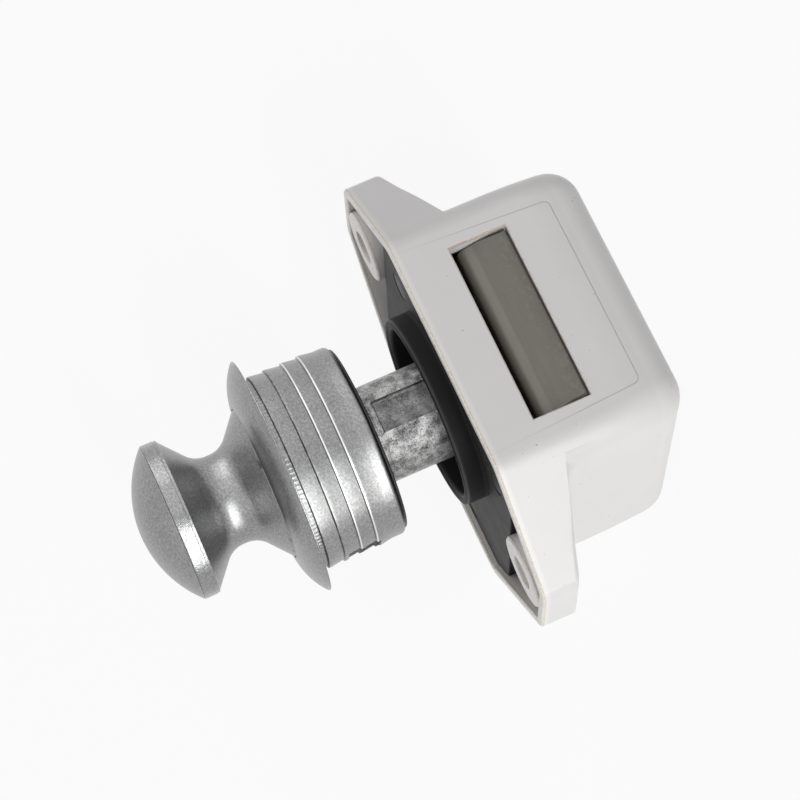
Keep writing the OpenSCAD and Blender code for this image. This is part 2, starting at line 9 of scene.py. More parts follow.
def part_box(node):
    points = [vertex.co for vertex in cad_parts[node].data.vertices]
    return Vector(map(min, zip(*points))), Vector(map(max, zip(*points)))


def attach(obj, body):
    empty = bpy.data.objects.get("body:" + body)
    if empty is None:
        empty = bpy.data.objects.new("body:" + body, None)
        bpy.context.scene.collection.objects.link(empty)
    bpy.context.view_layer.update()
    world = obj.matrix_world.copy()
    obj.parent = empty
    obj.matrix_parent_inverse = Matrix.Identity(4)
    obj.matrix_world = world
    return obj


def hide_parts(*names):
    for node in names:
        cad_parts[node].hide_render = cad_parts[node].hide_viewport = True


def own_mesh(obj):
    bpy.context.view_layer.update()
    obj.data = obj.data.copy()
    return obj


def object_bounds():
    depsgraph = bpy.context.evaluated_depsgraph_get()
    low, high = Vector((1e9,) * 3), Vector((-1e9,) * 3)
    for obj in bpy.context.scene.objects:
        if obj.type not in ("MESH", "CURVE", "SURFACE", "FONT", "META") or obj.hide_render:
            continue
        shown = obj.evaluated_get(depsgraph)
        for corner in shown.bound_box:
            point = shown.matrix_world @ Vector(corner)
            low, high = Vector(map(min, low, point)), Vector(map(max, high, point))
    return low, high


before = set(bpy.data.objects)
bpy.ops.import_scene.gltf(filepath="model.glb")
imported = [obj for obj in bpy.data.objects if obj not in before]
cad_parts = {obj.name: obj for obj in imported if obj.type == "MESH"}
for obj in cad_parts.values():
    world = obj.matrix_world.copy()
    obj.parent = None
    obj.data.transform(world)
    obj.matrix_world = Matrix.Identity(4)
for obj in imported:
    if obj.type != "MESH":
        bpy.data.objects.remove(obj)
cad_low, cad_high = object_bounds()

# Camera. The lock lies with its bolt's end up, seen from above through a long lens that looks
# down on the box's near wall and a little on the knob's dome.
aim, distance = Vector((-0.002813, -0.004376, 0.000403)), 0.3531
azimuth, elevation, roll = (math.radians(a) for a in (69.546, 69.987, 4.065))
back = Vector((
    math.sin(azimuth) * math.cos(elevation), -math.cos(azimuth) * math.cos(elevation),
    math.sin(elevation),
))
level = Vector((math.cos(azimuth), math.sin(azimuth), 0))
upward = back.cross(level) * math.cos(roll) + level * math.sin(roll)
camera_data = bpy.data.cameras.new("camera")
camera_data.sensor_width = 36
camera_data.lens = 126
camera_data.clip_start = 0.01
camera_data.clip_end = 20
camera = bpy.data.objects.new("camera", camera_data)
camera.matrix_world = Matrix((upward.cross(back), upward, back)).transposed().to_4x4()
camera.matrix_world.translation = aim + back * distance
bpy.context.scene.collection.objects.link(camera)
bpy.context.scene.camera = camera


# Housing. One injection moulding in light grey ABS: a box with two hollow ears, a slot for the
# bolt and a thin lip round the face that meets the door. Its edges come out of the mould soft.
mm = 0.001


class Value:
    """A number that changes over a surface. + - * on it add Math nodes."""

    def __init__(self, recipe, socket):
        self.recipe = recipe
        self.socket = socket

    def math(self, operation, *others):
        sockets = dict(enumerate((self,) + others))
        return self.recipe.node("ShaderNodeMath", {"operation": operation}, sockets)

    def __add__(self, other):
        return self.math("ADD", other)

    def __sub__(self, other):
        return self.math("SUBTRACT", other)

    def __mul__(self, other):
        return self.math("MULTIPLY", other)

    def __rsub__(self, other):
        return self.recipe.node("ShaderNodeMath", {"operation": "SUBTRACT"}, {0: other, 1: self})

    __radd__, __rmul__ = __add__, __mul__

    def __abs__(self):
        return self.math("ABSOLUTE")

    def most(self, other):
        return self.math("MAXIMUM", other)

    def rise(self, low, high):
        """0 below low, 1 above high, a smooth step between. With low above high it falls."""
        return self.recipe.node(
            "ShaderNodeMapRange", {"interpolation_type": "SMOOTHSTEP"}, {0: self, 1: low, 2: high})

    def line(self, place, half_width):
        """1 on a place, fading to 0 at half_width either side of it."""
        return abs(self - place).rise(half_width, half_width * 0.35)


class Recipe:
    """The nodes of a material or of the world, round one shader. What is the same all over is set
    on the shader's own sockets."""

    def __init__(self, name, world=None, **constants):
        self.material = world or bpy.data.materials.new(name)
        self.material.use_nodes = True
        self.nodes = self.material.node_tree.nodes
        self.links = self.material.node_tree.links
        self.shader = self.nodes["Background" if world else "Principled BSDF"]
        self.finish(**constants)
        if not world:
            self.material.diffuse_color = constants["Base_Color"]

    def feed(self, node, sockets):
        for key, value in sockets.items():
            if isinstance(value, Value):
                self.links.new(value.socket, node.inputs[key])
            else:
                node.inputs[key].default_value = value

    def node(self, kind, settings=None, sockets=None, output=0):
        node = self.nodes.new(kind)
        for key, value in (settings or {}).items():
            setattr(node, key, value)
        self.feed(node, sockets or {})
        return Value(self, node.outputs[output])

    def place(self):
        """Object coordinates as a vector in millimetres."""
        point = self.node("ShaderNodeTexCoord", output=3)
        return self.node("ShaderNodeVectorMath", {"operation": "SCALE"}, {0: point, 3: 1 / mm})

    def parts(self, point):
        """The x, y and z of a vector."""
        split = self.nodes.new("ShaderNodeSeparateXYZ")
        self.links.new(point.socket, split.inputs[0])
        return [Value(self, split.outputs[i]) for i in range(3)]

    def noise(self, point, per_mm, detail=2.0, roughness=0.5):
        """Cloudy noise from 0 to 1 with about per_mm blotches in a millimetre."""
        return self.node("ShaderNodeTexNoise", None, {
            "Vector": point, "Scale": per_mm, "Detail": detail, "Roughness": roughness})

    def stretched(self, point, sizes):
        """The same place with each axis scaled, so that noise on it runs in streaks."""
        return self.node("ShaderNodeVectorMath", {"operation": "MULTIPLY"}, {0: point, 1: sizes})

    def mix(self, share, first, second):
        return self.node(
            "ShaderNodeMix", {"data_type": "RGBA"}, {0: share, 6: first, 7: second}, output=2)

    def bump(self, height, depth_mm):
        """Fine relief, depth_mm deep where height goes from 0 to 1."""
        return self.node("ShaderNodeBump", None, {
            "Strength": 1.0, "Distance": depth_mm * mm, "Height": height})

    def finish(self, **sockets):
        self.feed(self.shader, {name.replace("_", " "): value for name, value in sockets.items()})
        return self.material


def make_piece(name, points, faces, material, body=None, smooth_angle=32):
    """A mesh from an array of points in mm and lists of faces, its doubles joined and its faces
    outward. It rides on the body, if one is named."""
    mesh = bpy.data.meshes.new(name)
    mesh.from_pydata((np.asarray(points, float).reshape(-1, 3) * mm).tolist(), [], faces)
    work = bmesh.new()
    work.from_mesh(mesh)
    bmesh.ops.remove_doubles(work, verts=work.verts, dist=0.0005 * mm)
    bmesh.ops.dissolve_degenerate(work, edges=work.edges, dist=0.0005 * mm)
    bmesh.ops.recalc_face_normals(work, faces=work.faces)
    if work.calc_volume(signed=True) < 0:
        bmesh.ops.reverse_faces(work, faces=work.faces)
    work.to_mesh(mesh)
    work.free()
    mesh.materials.append(material)
    mesh.shade_smooth()
    mesh.set_sharp_from_angle(angle=math.radians(smooth_angle))
    piece = bpy.data.objects.new(name, mesh)
    bpy.context.scene.collection.objects.link(piece)
    if body:
        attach(piece, body)
    return piece


def quads(index, close_rows=False, close_columns=False):
    """Four-sided faces between neighbours on a grid of point numbers, wrapped where it closes."""
    index = np.pad(index, ((0, close_rows), (0, close_columns)), "wrap")
    corners = [index[:-1, :-1], index[1:, :-1], index[1:, 1:], index[:-1, 1:]]
    return np.stack(corners, -1).reshape(-1, 4)


def grid_faces(rows, columns, close_rows=False, close_columns=False):
    """The same for points that were worked out as rows by columns."""
    index = np.arange(rows * columns).reshape(rows, columns)
    return quads(index, close_rows, close_columns).tolist()


housing_low, housing_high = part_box("housing")
half_l, box_up, box_down = 18.0, housing_high.z / mm, -housing_low.z / mm
depth, ear_x = housing_high.y / mm, housing_high.x / mm
middle = (box_up - box_down) / 2
edge_r, back_r, ear_half, tip_r = 3.4, 4.0, 7.8, 2.6
root_t, tip_t, lip_wall, wall, seat = 8.3, 4.9, 1.3, 1.8, 3.0
lip_inner_r, lip_outer_r, ear_rear_r, ear_fillet_r = 0.22, 0.35, 0.5, 3.0
slot_front, slot_rear, slot_half, slot_ease = 6.8, 14.35, 12.1, 0.15
screw_x, screw_r, boss_r = 24.0, 2.25, 4.75
insert_rear, witness_r, draft, edge_grows = 20.5, 0.8, 0.15, 1.2
ear_slope = (root_t - tip_t) / (ear_x - half_l)
# Shares of the outline: half_end runs from a near or bottom edge to the middle of an end, and the
# box's arc takes box_arc of it. Of a half end, the ear's arc, straight side and tip corner end at:
half_end, box_arc, ear_arc, ear_straight, ear_corner = 1.5, 0.3, 0.2, 0.75, 0.95


def ear_lean(height):
    """Direction in degrees that the ear's straight side faces, and its run from root to tip, for a
    side that leaves the rounded edge at this height at a tangent."""
    root = np.array([half_l - edge_r, height - edge_r])
    run = np.array([ear_x - tip_r, ear_half - tip_r]) - root
    lean = math.atan2(run[1], run[0]) + math.acos((edge_r - tip_r) / np.hypot(*run))
    return math.degrees(lean), root, run


def round_block(share, inset, softer=0.0):
    """The box's outline as x, z and outward normal, for share from 0 to 5 half the way round:
    near face, rounded edge, end wall, rounded edge, bottom. Insets shrink it, corners included."""
    kind = np.minimum(np.floor(share), 4)
    t = share - kind
    r = np.maximum(edge_r + softer - inset, 0.02)
    x_in, up, down = half_l - inset - r, box_up - inset - r, box_down - inset - r
    turned = []
    for height, way in ((box_up, t), (box_down, 1 - t)):
        lean = ear_lean(height)[0]
        turned.append(np.where(
            way < box_arc, 90 - (90 - lean) * way / box_arc, lean * (1 - way) / (1 - box_arc)))
    angle = np.select(
        [kind == 0, kind == 1, kind == 2, kind == 3], [90, turned[0], 0, -turned[1]], -90)
    nx, nz = np.cos(np.radians(angle)), np.sin(np.radians(angle))
    x = np.select([kind == 0, kind == 4], [t * x_in, (1 - t) * x_in], x_in)
    x = x + r * nx * (kind % 4 != 0)
    level = np.where(t < 0.5, up, down) * (1 - 2 * t)
    z = np.select([kind <= 1, kind == 2], [up, level], -down) + r * nz
    return x, z, nx, nz


def ear_outline(share, inset):
    """The mounting face's outline at the same shares. It keeps the box's faces and the first part
    of each rounded edge, then runs straight to the ear's round tip corners and across its tip."""
    x, z, _, _ = round_block(share, inset)
    for sign, height, past_edge in ((1, box_up, share - 1), (-1, box_down, 4 - share)):
        lean, root, run = ear_lean(height)
        # Way along this half of the end: arc, straight, tip corner, tip
        way = past_edge / half_end
        angle = np.radians(np.select(
            [way < ear_arc, way < ear_straight, way < ear_corner],
            [90 - (90 - lean) * way / ear_arc, lean,
             lean - lean * (way - ear_straight) / (ear_corner - ear_straight)], 0))
        along = np.clip((way - ear_arc) / (ear_straight - ear_arc), 0, 1)
        r = np.where(way < ear_arc, edge_r, edge_r + (tip_r - edge_r) * along) - inset
        flat = np.clip((way - ear_corner) / (1 - ear_corner), 0, 1)
        here = (way > -1e-9) & (way < 1 + 1e-9)
        x = np.where(here, root[0] + run[0] * along + r * np.cos(angle), x)
        z = np.where(here, sign * (root[1] + run[1] * along + r * np.sin(angle)) * (1 - flat), z)
    return x, z


def smooth(value):
    """0 up to 0, 1 from 1 on, a smooth step between."""
    value = np.clip(value, 0, 1)
    return value * value * (3 - 2 * value)


def arc_steps(count):
    """Angles from 0 to 90 degrees."""
    return np.linspace(0, np.pi / 2, count)


def housing_shell():
    """Columns go once round the outline, rows from the seat over the lip, up the ear's side, over
    its rear face and fillet, up the box's wall, over the rounded back edge to the middle. A second
    skin goes back inside. The slot's cells are left out and joined by a ring of walls."""
    flat_half, slot_edge = half_l - edge_r, slot_half + slot_ease
    half = np.concatenate([
        [0, 0.2, 0.4, 0.6, 0.75, slot_edge / flat_half, (slot_edge + 0.06) / flat_half],
        [0.96, 0.995],
        1 + np.linspace(0, 3, 121)[:-1],
        4 + np.array([0.005, 0.04, 0.2, 0.4, 0.6, 0.8, 1.0]),
    ])
    share = np.concatenate([half, half[-2:0:-1]])
    columns = len(share)
    side = np.where(np.arange(columns) < len(half), 1, -1)
    # The sixth share is the slot's end, so the slot's rim runs over these columns
    slot_columns = np.arange(-5, 6) % columns

    def ear_height(x):
        return root_t - ear_slope * (np.maximum(np.abs(x), flat_half) - half_l)

    ex, ez = ear_outline(share, 0.0)
    bx, bz, nx, nz = round_block(share, 0.0)
    # How far the ear reaches beyond the box here, along the box's own normal
    room = np.zeros(columns)
    for sign, height, way in ((1, box_up, share - 1), (-1, box_down, 4 - share)):
        lean, root, _ = ear_lean(height)
        lean_x, lean_z = math.cos(math.radians(lean)), math.sin(math.radians(lean))
        inside = edge_r - (bx - root[0]) * lean_x - (sign * bz - root[1]) * lean_z
        beyond = (way > box_arc) & (way <= half_end)
        room[beyond] = (inside / (nx * lean_x + sign * nz * lean_z))[beyond]
    ease = ear_rear_r * smooth(room / 1.5)
    fillet = ear_fillet_r * smooth(room / 3.6)
    rows = []

    def row(x, y, z):
        rows.append((x, np.broadcast_to(y, x.shape), z))

    def ear_row(inset, y):
        x, z = ear_outline(share, inset)
        row(x, y, z)

    def box_row(inset, y):
        # The rounded edges grow wider towards the back
        x, z, _, _ = round_block(share, inset, edge_grows * smooth((y - 15) / 9))
        row(x, y, z)

    # Lip: inner wall, rounded inner edge, land, rounded outer edge
    ear_row(lip_wall, seat)
    ear_row(lip_wall, lip_inner_r + 0.1)
    for a in arc_steps(5):
        ear_row(lip_wall - lip_inner_r * (1 - math.cos(a)), lip_inner_r * (1 - math.sin(a)))
    ear_row(lip_wall - lip_inner_r - 0.08, 0.0)
    ear_row(lip_outer_r + 0.07, 0.0)
    for a in arc_steps(6):
        ear_row(lip_outer_r * (1 - math.sin(a)), lip_outer_r * (1 - math.cos(a)))
    # Ear's side wall and its rounded rear edge
    top = ear_height(ex)
    at_slot = (slot_front - slot_ease - lip_outer_r) / (ear_height(0) - lip_outer_r)
    for f in (0.01, at_slot - 0.007, at_slot, 0.985):
        ear_row(0, lip_outer_r + f * (top - ease - lip_outer_r))
    front_row = len(rows) - 2
    inner_x, inner_z = ear_outline(share, 0.6)
    for a in arc_steps(6):
        move = ease * (1 - math.cos(a)) / 0.6
        row(ex + (inner_x - ex) * move, top - ease * (1 - math.sin(a)), ez + (inner_z - ez) * move)
    # Rear face of the ear, then the fillet to the box's wall
    lean = np.arctan(ear_slope * np.abs(nx))
    start_off = fillet * (1 - np.sin(lean))
    x0, _, z0 = rows[-1]
    x1, z1 = bx + nx * start_off, bz + nz * start_off
    for f in (0.04, 0.35, 0.7, 0.96):
        x, z = x0 + (x1 - x0) * f, z0 + (z1 - z0) * f
        row(x, ear_height(x), z)
    centre_y = ear_height(bx) + fillet * (1 / np.cos(lean) - np.tan(lean))
    for f in np.linspace(0, 1, 8):
        angle = -np.pi / 2 - lean - f * (np.pi / 2 - lean)
        off = fillet * (1 + np.cos(angle))
        row(bx + nx * off, centre_y + fillet * np.sin(angle), bz + nz * off)
    # Box's wall with its draft, rounded back edge, back
    rear_rim = slot_rear + slot_ease
    for y in (12.5, rear_rim, rear_rim + 0.06, 17.5, depth - back_r - 0.1):
        box_row(draft * (y - 10) / 15, y)
    rear_row = len(rows) - 4
    for a in arc_steps(11):
        box_row(draft + back_r * (1 - math.cos(a)), depth - back_r + back_r * math.sin(a))
    box_row(back_r + 0.3, depth)
    x, _, z = rows[-1]
    for f in (0.5, 0.0):
        row(x * f, depth, middle + (z - middle) * f)
    outer_count = len(rows)
    # Inner skin, from the seat's ledge through the hollow ears to the cavity's back
    hollow = smooth((room - 2.2) / 3.0)
    ear_row(lip_wall + 0.3, seat)
    x, z = ear_outline(share, lip_wall + 0.35)
    row(x, seat + hollow * np.maximum(ear_height(x) - wall - 0.3 - seat, 0), z)
    off = -wall + hollow * (wall + 1.6)
    x, z = bx + nx * off, bz + nz * off
    row(x, seat + hollow * (root_t - wall - 0.5 - seat), z)
    row(x, seat + 0.02, z)
    by_slot = np.isin(np.arange(columns), slot_columns)
    slot_rows = [rows[i][1][0] for i in range(front_row + 1, rear_row)]
    slot_rows = np.unique(np.round(slot_rows, 5))

    def cavity_row(inset, y):
        x, z, _, _ = round_block(share, wall + 0.1 + inset)
        row(np.where(by_slot, np.minimum(x, slot_half), x), y, z)

    for y in (seat + 0.05, slot_front, *slot_rows, slot_rear, depth - back_r):
        cavity_row(0, y)
    inner_front = len(rows) - 3 - len(slot_rows)
    inner_r = back_r - wall
    for a in arc_steps(5)[1:]:
        cavity_row(inner_r * (1 - math.cos(a)), depth - back_r + inner_r * math.sin(a))
    row(np.zeros(columns), depth - wall, np.full(columns, middle))
    grid = np.array([np.stack(one, -1) for one in rows])
    grid[..., 0] *= side
    # The outer and the inner skin are two grids that meet at the seat
    index = np.arange(len(rows) * columns).reshape(-1, columns)
    inner_index = np.vstack([index[:1], index[outer_count:]])
    in_slot = np.isin(np.arange(columns), slot_columns[:-1])
    keep_outer = np.ones((outer_count - 1, columns), bool)
    keep_outer[front_row:rear_row, in_slot] = False
    keep_inner = np.ones((len(inner_index) - 1, columns), bool)
    start = inner_front - outer_count + 1
    keep_inner[start:start + len(slot_rows) + 1, in_slot] = False
    faces = [quads(index[:outer_count], close_columns=True)[keep_outer.ravel()],
             quads(inner_index, close_columns=True)[keep_inner.ravel()]]
    # Walls of the slot: a ring of points round the hole, eased at the rim, then straight down
    hole = np.concatenate([
        index[front_row, slot_columns], index[front_row + 1:rear_row + 1, slot_columns[-1]],
        index[rear_row, slot_columns[-2::-1]], index[rear_row - 1:front_row:-1, slot_columns[0]],
    ])
    rim = grid.reshape(-1, 3)[hole]
    straight = np.clip(rim, (-slot_half, slot_front, -np.inf), (slot_half, slot_rear, np.inf))
    loops = []
    for a in arc_steps(4)[1:]:
        loops.append(rim + (straight - rim) * math.sin(a) - (0, 0, slot_ease * (1 - math.cos(a))))
    for down in (slot_ease + 0.06, wall + 0.1):
        loops.append(np.where((False, False, True), box_up - down, straight))
    extra = grid[..., 0].size + np.arange(len(loops) * len(hole)).reshape(len(loops), -1)
    faces.append(quads(np.vstack([hole[None], extra]), close_columns=True))
    return np.vstack([grid.reshape(-1, 3), *loops]), np.vstack(faces).tolist()


def around_y(r, y, u):
    """Points at radius r from the Y axis, place y on it and angle u: x = r sin u, z = r cos u."""
    r, y, u = np.broadcast_arrays(r, y, u)
    return np.stack([r * np.sin(u), y, r * np.cos(u)], -1)


def turned_about_y(profile, turns=224):
    """A profile of (radius, y) carried round the Y axis."""
    r, y = np.asarray(profile, float).T[..., None]
    u = np.linspace(0, 2 * np.pi, turns, endpoint=False)
    return around_y(r, y, u), grid_faces(len(r), turns, close_columns=True)


def join_or_cut(piece, points, faces, operation):
    """A closed tool shape is joined to the piece or cut from it, and the result is its mesh."""
    tool = make_piece("housing_tool", points, faces, piece.data.materials[0])
    step = piece.modifiers.new("housing_step", "BOOLEAN")
    step.solver = "MANIFOLD"
    step.operation = operation
    step.object = tool
    seen = piece.evaluated_get(bpy.context.evaluated_depsgraph_get())
    whole = bpy.data.meshes.new_from_object(seen)
    piece.modifiers.clear()
    piece.data = whole
    bpy.data.objects.remove(tool)


grey = Recipe("housing_abs", Base_Color=(0.8, 0.79, 0.78, 1), Roughness=0.4, IOR=1.52)
point = grey.place()
x, y, z = grey.parts(point)
# The insert that forms the slot's face leaves a thin witness line round it
insert_half = 14.2 - 0.06 * y
across = (abs(x) - insert_half + witness_r).most(0)
along = (y - insert_rear + witness_r).most(0)
outside = (across * across + along * along).math("SQRT") - witness_r
witness = outside.line(0, 0.1) * z.rise(box_up - 0.35, box_up - 0.2)
witness = witness * (0.12 + y.rise(2, 18) * 0.7)
# The slot's rim and the lip have picked up a little rust-coloured dirt
slot_y, slot_width = (slot_front + slot_rear) / 2, slot_rear - slot_front
rim = (abs(x) - slot_half).most(abs(y - slot_y) - slot_width / 2)
blotch = grey.noise(point, 1.4, 3, 0.6)
rim_dirt = rim.line(0.06, 0.13) * z.rise(box_up - 0.5, box_up - 0.25)
rim_dirt = rim_dirt * (0.3 + blotch.rise(0.4, 0.6) * 0.3 + x.rise(-9, -12) * 0.4)
wear = grey.noise(point, 2.6, 4, 0.7)
lip_line = y.line(0.3, 0.14) * (0.35 + wear.rise(0.35, 0.6) * 0.5)
lip_dirt = (y.rise(0.42, 0.08) * wear.rise(0.5, 0.68)).most(lip_line)
specks = grey.noise(point, 2.2, 1, 0.4).rise(0.77, 0.79)
specks = specks * grey.noise(point, 0.23).rise(0.45, 0.6)
tone = grey.noise(point, 0.12, 3, 0.55)
colour = grey.mix(tone, (0.75, 0.73, 0.723, 1), (0.795, 0.779, 0.771, 1))
# Up to about 1 mm back from the lip's face the plastic is painted paler: a painted highlight on the
# lip's edge
colour = grey.mix(y.rise(1.15, 0.75) * 0.6, colour, (0.9, 0.87, 0.83, 1))
colour = grey.mix(witness * 0.7, colour, (0.42, 0.37, 0.32, 1))
colour = grey.mix(lip_dirt * 0.55, colour, (0.52, 0.38, 0.2, 1))
colour = grey.mix(rim_dirt * 0.8, colour, (0.45, 0.3, 0.17, 1))
colour = grey.mix(specks * 0.7, colour, (0.3, 0.2, 0.13, 1))
pores = grey.noise(point, 9, 2, 0.6)
height = pores * 0.5 + tone - witness * 3 - lip_dirt * 0.6
housing = make_piece("lock_housing", *housing_shell(), grey.finish(
    Base_Color=colour,
    Roughness=0.27 + tone * 0.1 + lip_dirt * 0.2,
    Normal=grey.bump(height, 0.012),
))
boss_profile = [(0, 0), (boss_r - 0.2, 0), (boss_r, 0.2), (boss_r, 1), (0, 1)]
for aside in ((screw_x, 0, 0), (-screw_x, 0, 0)):
    boss, faces = turned_about_y(boss_profile, 96)
    boss = boss + aside
    # The boss's far end lies just under the ear's sloped rear face
    boss[-2:, :, 1] = root_t - ear_slope * (np.abs(boss[-2:, :, 0]) - half_l) - 0.5
    join_or_cut(housing, boss, faces, "UNION")
    hole, faces = turned_about_y([(0, -1), (screw_r, -1), (screw_r, 9), (0, 9)], 96)
    join_or_cut(housing, hole + aside, faces, "DIFFERENCE")
housing.data.shade_smooth()
housing.data.set_sharp_from_angle(angle=math.radians(32))
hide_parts("housing")
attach(housing, "lock_body")


# Base plate. A black acetal moulding let into the housing's lip and held by four small screws.
# It carries the spigot ring that enters the door's hole, the key for the shaft and two rails.
def soft_edged(name, node, width, body, material, shade_angle=32):
    """The node's own surface with its triangles joined and flat faces made one. An outer edge gets
    a round of the given width in mm, unless one of its neighbours is too short for that."""
    work = bmesh.new()
    work.from_mesh(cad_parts[node].data)
    bmesh.ops.remove_doubles(work, verts=work.verts, dist=0.002 * mm)
    bmesh.ops.dissolve_limit(
        work, angle_limit=math.radians(0.4), verts=work.verts, edges=work.edges)
    weight = work.edges.layers.float.new("bevel_weight_edge")
    least = math.radians(shade_angle)
    sharp = {
        e for e in work.edges
        if len(e.link_faces) == 2 and e.is_convex and e.calc_face_angle(0) > least
    }
    for edge in sharp:
        near = [e for v in edge.verts for e in v.link_edges if e in sharp]
        if min(e.calc_length() for e in near) > 0.45 * width * mm:
            edge[weight] = 1.0
    plain = bpy.data.meshes.new(name)
    work.to_mesh(plain)
    work.free()
    if "custom_normal" in plain.attributes:
        plain.attributes.remove(plain.attributes["custom_normal"])
    plain.materials.clear()
    plain.materials.append(material)
    plain.shade_smooth()
    plain.set_sharp_from_angle(angle=math.radians(shade_angle))
    piece = bpy.data.objects.new(name, plain)
    bpy.context.scene.collection.objects.link(piece)
    round_over = piece.modifiers.new("soft_edges", "BEVEL")
    round_over.limit_method = "WEIGHT"
    round_over.width = width * mm
    round_over.segments = 3
    round_over.use_clamp_overlap = False
    round_over.harden_normals = True
    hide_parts(node)
    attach(piece, body)
    return piece


spigot_outer, spigot_inner, spigot_face = 12.7, 11.3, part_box("base_plate")[0].y / mm
black = Recipe("base_plate_acetal", Base_Color=(0.03, 0.03, 0.032, 1), Roughness=0.5, IOR=1.48,
               Specular_IOR_Level=0.18)
point = black.place()
x, y, z = black.parts(point)
radius = (x * x + z * z).math("SQRT")
streaks = black.noise(black.stretched(point, (0.25, 6.0, 6.0)), 1.2, 4, 0.65)
cloud = black.noise(point, 0.5, 3)
proud = y.rise(0.5, 0.1)
worn = radius.line(spigot_outer - 0.1, 0.13).most(radius.line(spigot_inner + 0.25, 0.14))
worn = worn * proud * y.rise(spigot_face + 0.8, spigot_face + 0.25)
worn = worn * (0.5 + black.noise(point, 0.6, 2) * 0.5)
colour = black.mix(streaks.rise(0.3, 0.75), (0.02, 0.0194, 0.0192, 1), (0.042, 0.0395, 0.038, 1))
# The spigot ring, proud of the plate, is painted almost black: painted shade on the same acetal as
# the plate
colour = black.mix(proud, colour, (0.006, 0.006, 0.0065, 1))
colour = black.mix(worn * 0.5, colour, (0.12, 0.115, 0.11, 1))
base_plate = soft_edged("base_plate_moulding", "base_plate", 0.18, "lock_body", black.finish(
    Base_Color=colour,
    Roughness=0.5 + cloud * 0.16 - worn * 0.1,
    Normal=black.bump(streaks + cloud * 0.4, 0.02),
))


# Base plate screws and the catch's leaf spring. The screws are small countersunk zinc ones, their
# near-black colour painted shade; the leaf is a strip of spring steel that presses the catch wire
# into its track.
def plated(name, colour, roughness, grain):
    """Steel with a thin finish: a near-even colour with fine drawing lines, long in the direction
    where grain is small, and small stains."""
    steel = Recipe(name, Base_Color=colour + (1,), Metallic=1.0, Roughness=roughness)
    point = steel.place()
    drawn = steel.noise(steel.stretched(point, grain), 3.0, 3, 0.6)
    stain = steel.noise(point, 0.9, 4, 0.6)
    dark = tuple(c * 0.72 for c in colour) + (1,)
    return steel.finish(
        Base_Color=steel.mix(stain.rise(0.45, 0.75), colour + (1,), dark),
        Roughness=roughness - 0.06 + stain * 0.14,
        Normal=steel.bump(drawn, 0.006),
    )


def refinish(node, material):
    """A node whose shape is right keeps it and gets a better material."""
    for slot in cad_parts[node].material_slots:
        slot.material = material


# The screws' near-black colour is painted shade
screws = soft_edged("plate_screws_zinc", "plate_screws", 0.1, "lock_body",
                    plated("screw_painted_shade", (0.07, 0.07, 0.07), 0.5, (1, 1, 1)))
leaf = soft_edged("catch_leaf_strip", "catch_leaf", 0.06, "lock_body",
                  plated("leaf_spring_steel", (0.5, 0.5, 0.49), 0.28, (1, 1, 0.1)))


# Shaft. A die-cast zinc bar with a flat guide groove along its upper side, left raw, so its skin
# is grainy and mottled. The stud screws into its front end and the return spring sits in its rear.
def rounded(corners, step=15, hold=0.03):
    """A line through corners (a, b, radius): each corner becomes an arc that leaves both sides at
    a tangent. A point just off each end of the arc makes the flats next to it shade flat."""
    corners = np.asarray(corners, float)
    line = [corners[0, :2]]
    for before, here, after in zip(corners[:-2], corners[1:-1], corners[2:]):
        into, out = here[:2] - before[:2], after[:2] - here[:2]
        into, out = into / np.linalg.norm(into), out / np.linalg.norm(out)
        turn = math.acos(np.clip(into @ out, -1, 1))
        if here[2] <= 0 or turn < 0.01:
            line.append(here[:2])
            continue
        reach = here[2] * math.tan(turn / 2)
        side = out - into
        centre = here[:2] + side / np.linalg.norm(side) * here[2] / math.cos(turn / 2)
        count = max(2, math.ceil(math.degrees(turn) / step))
        spread = np.linspace(-turn / 2, turn / 2, count + 1)[:, None]
        middle = -side / np.linalg.norm(side)
        cross = (into + out) / np.linalg.norm(into + out)
        arc = centre + here[2] * (np.cos(spread) * middle + np.sin(spread) * cross)
        line += [here[:2] - into * (reach + hold), *arc, here[:2] + out * (reach + hold)]
    line.append(corners[-1, :2])
    return np.array(line)


shaft_low, shaft_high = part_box("shaft")
shaft_r = shaft_high.x / mm
shaft_front, shaft_rear = shaft_low.y / mm, shaft_high.y / mm
groove_half, groove_floor, groove_floor_r, groove_front = 2.2, shaft_r - 1.3, 0.35, -8.6
stud_bore_r, stud_bore_end, spring_bore_r, spring_bore_end = 3.0, 1.6, 4.2, 8.4


def shaft_section(grooved):
    """Outline round the shaft as x and z: a circle, or a circle with a flat channel on its top.
    Both have the same count of points, so that one can follow the other along the shaft."""
    edge = math.asin(groove_half / shaft_r)
    around = np.linspace(edge, 2 * math.pi - edge, 145)
    ring = np.stack([shaft_r * np.sin(around), shaft_r * np.cos(around)], -1)
    lip = shaft_r * math.cos(edge)
    fall = rounded([
        (-groove_half, lip, 0), (-groove_half, groove_floor, groove_floor_r),
        (groove_half, groove_floor, groove_floor_r), (groove_half, lip, 0)], 30, 0.02)
    if grooved:
        return np.vstack([ring, fall[1:-1]])
    top = np.linspace(-groove_half, groove_half, len(fall))[1:-1]
    return np.vstack([ring, np.stack([top, np.sqrt(shaft_r ** 2 - top ** 2)], -1)])


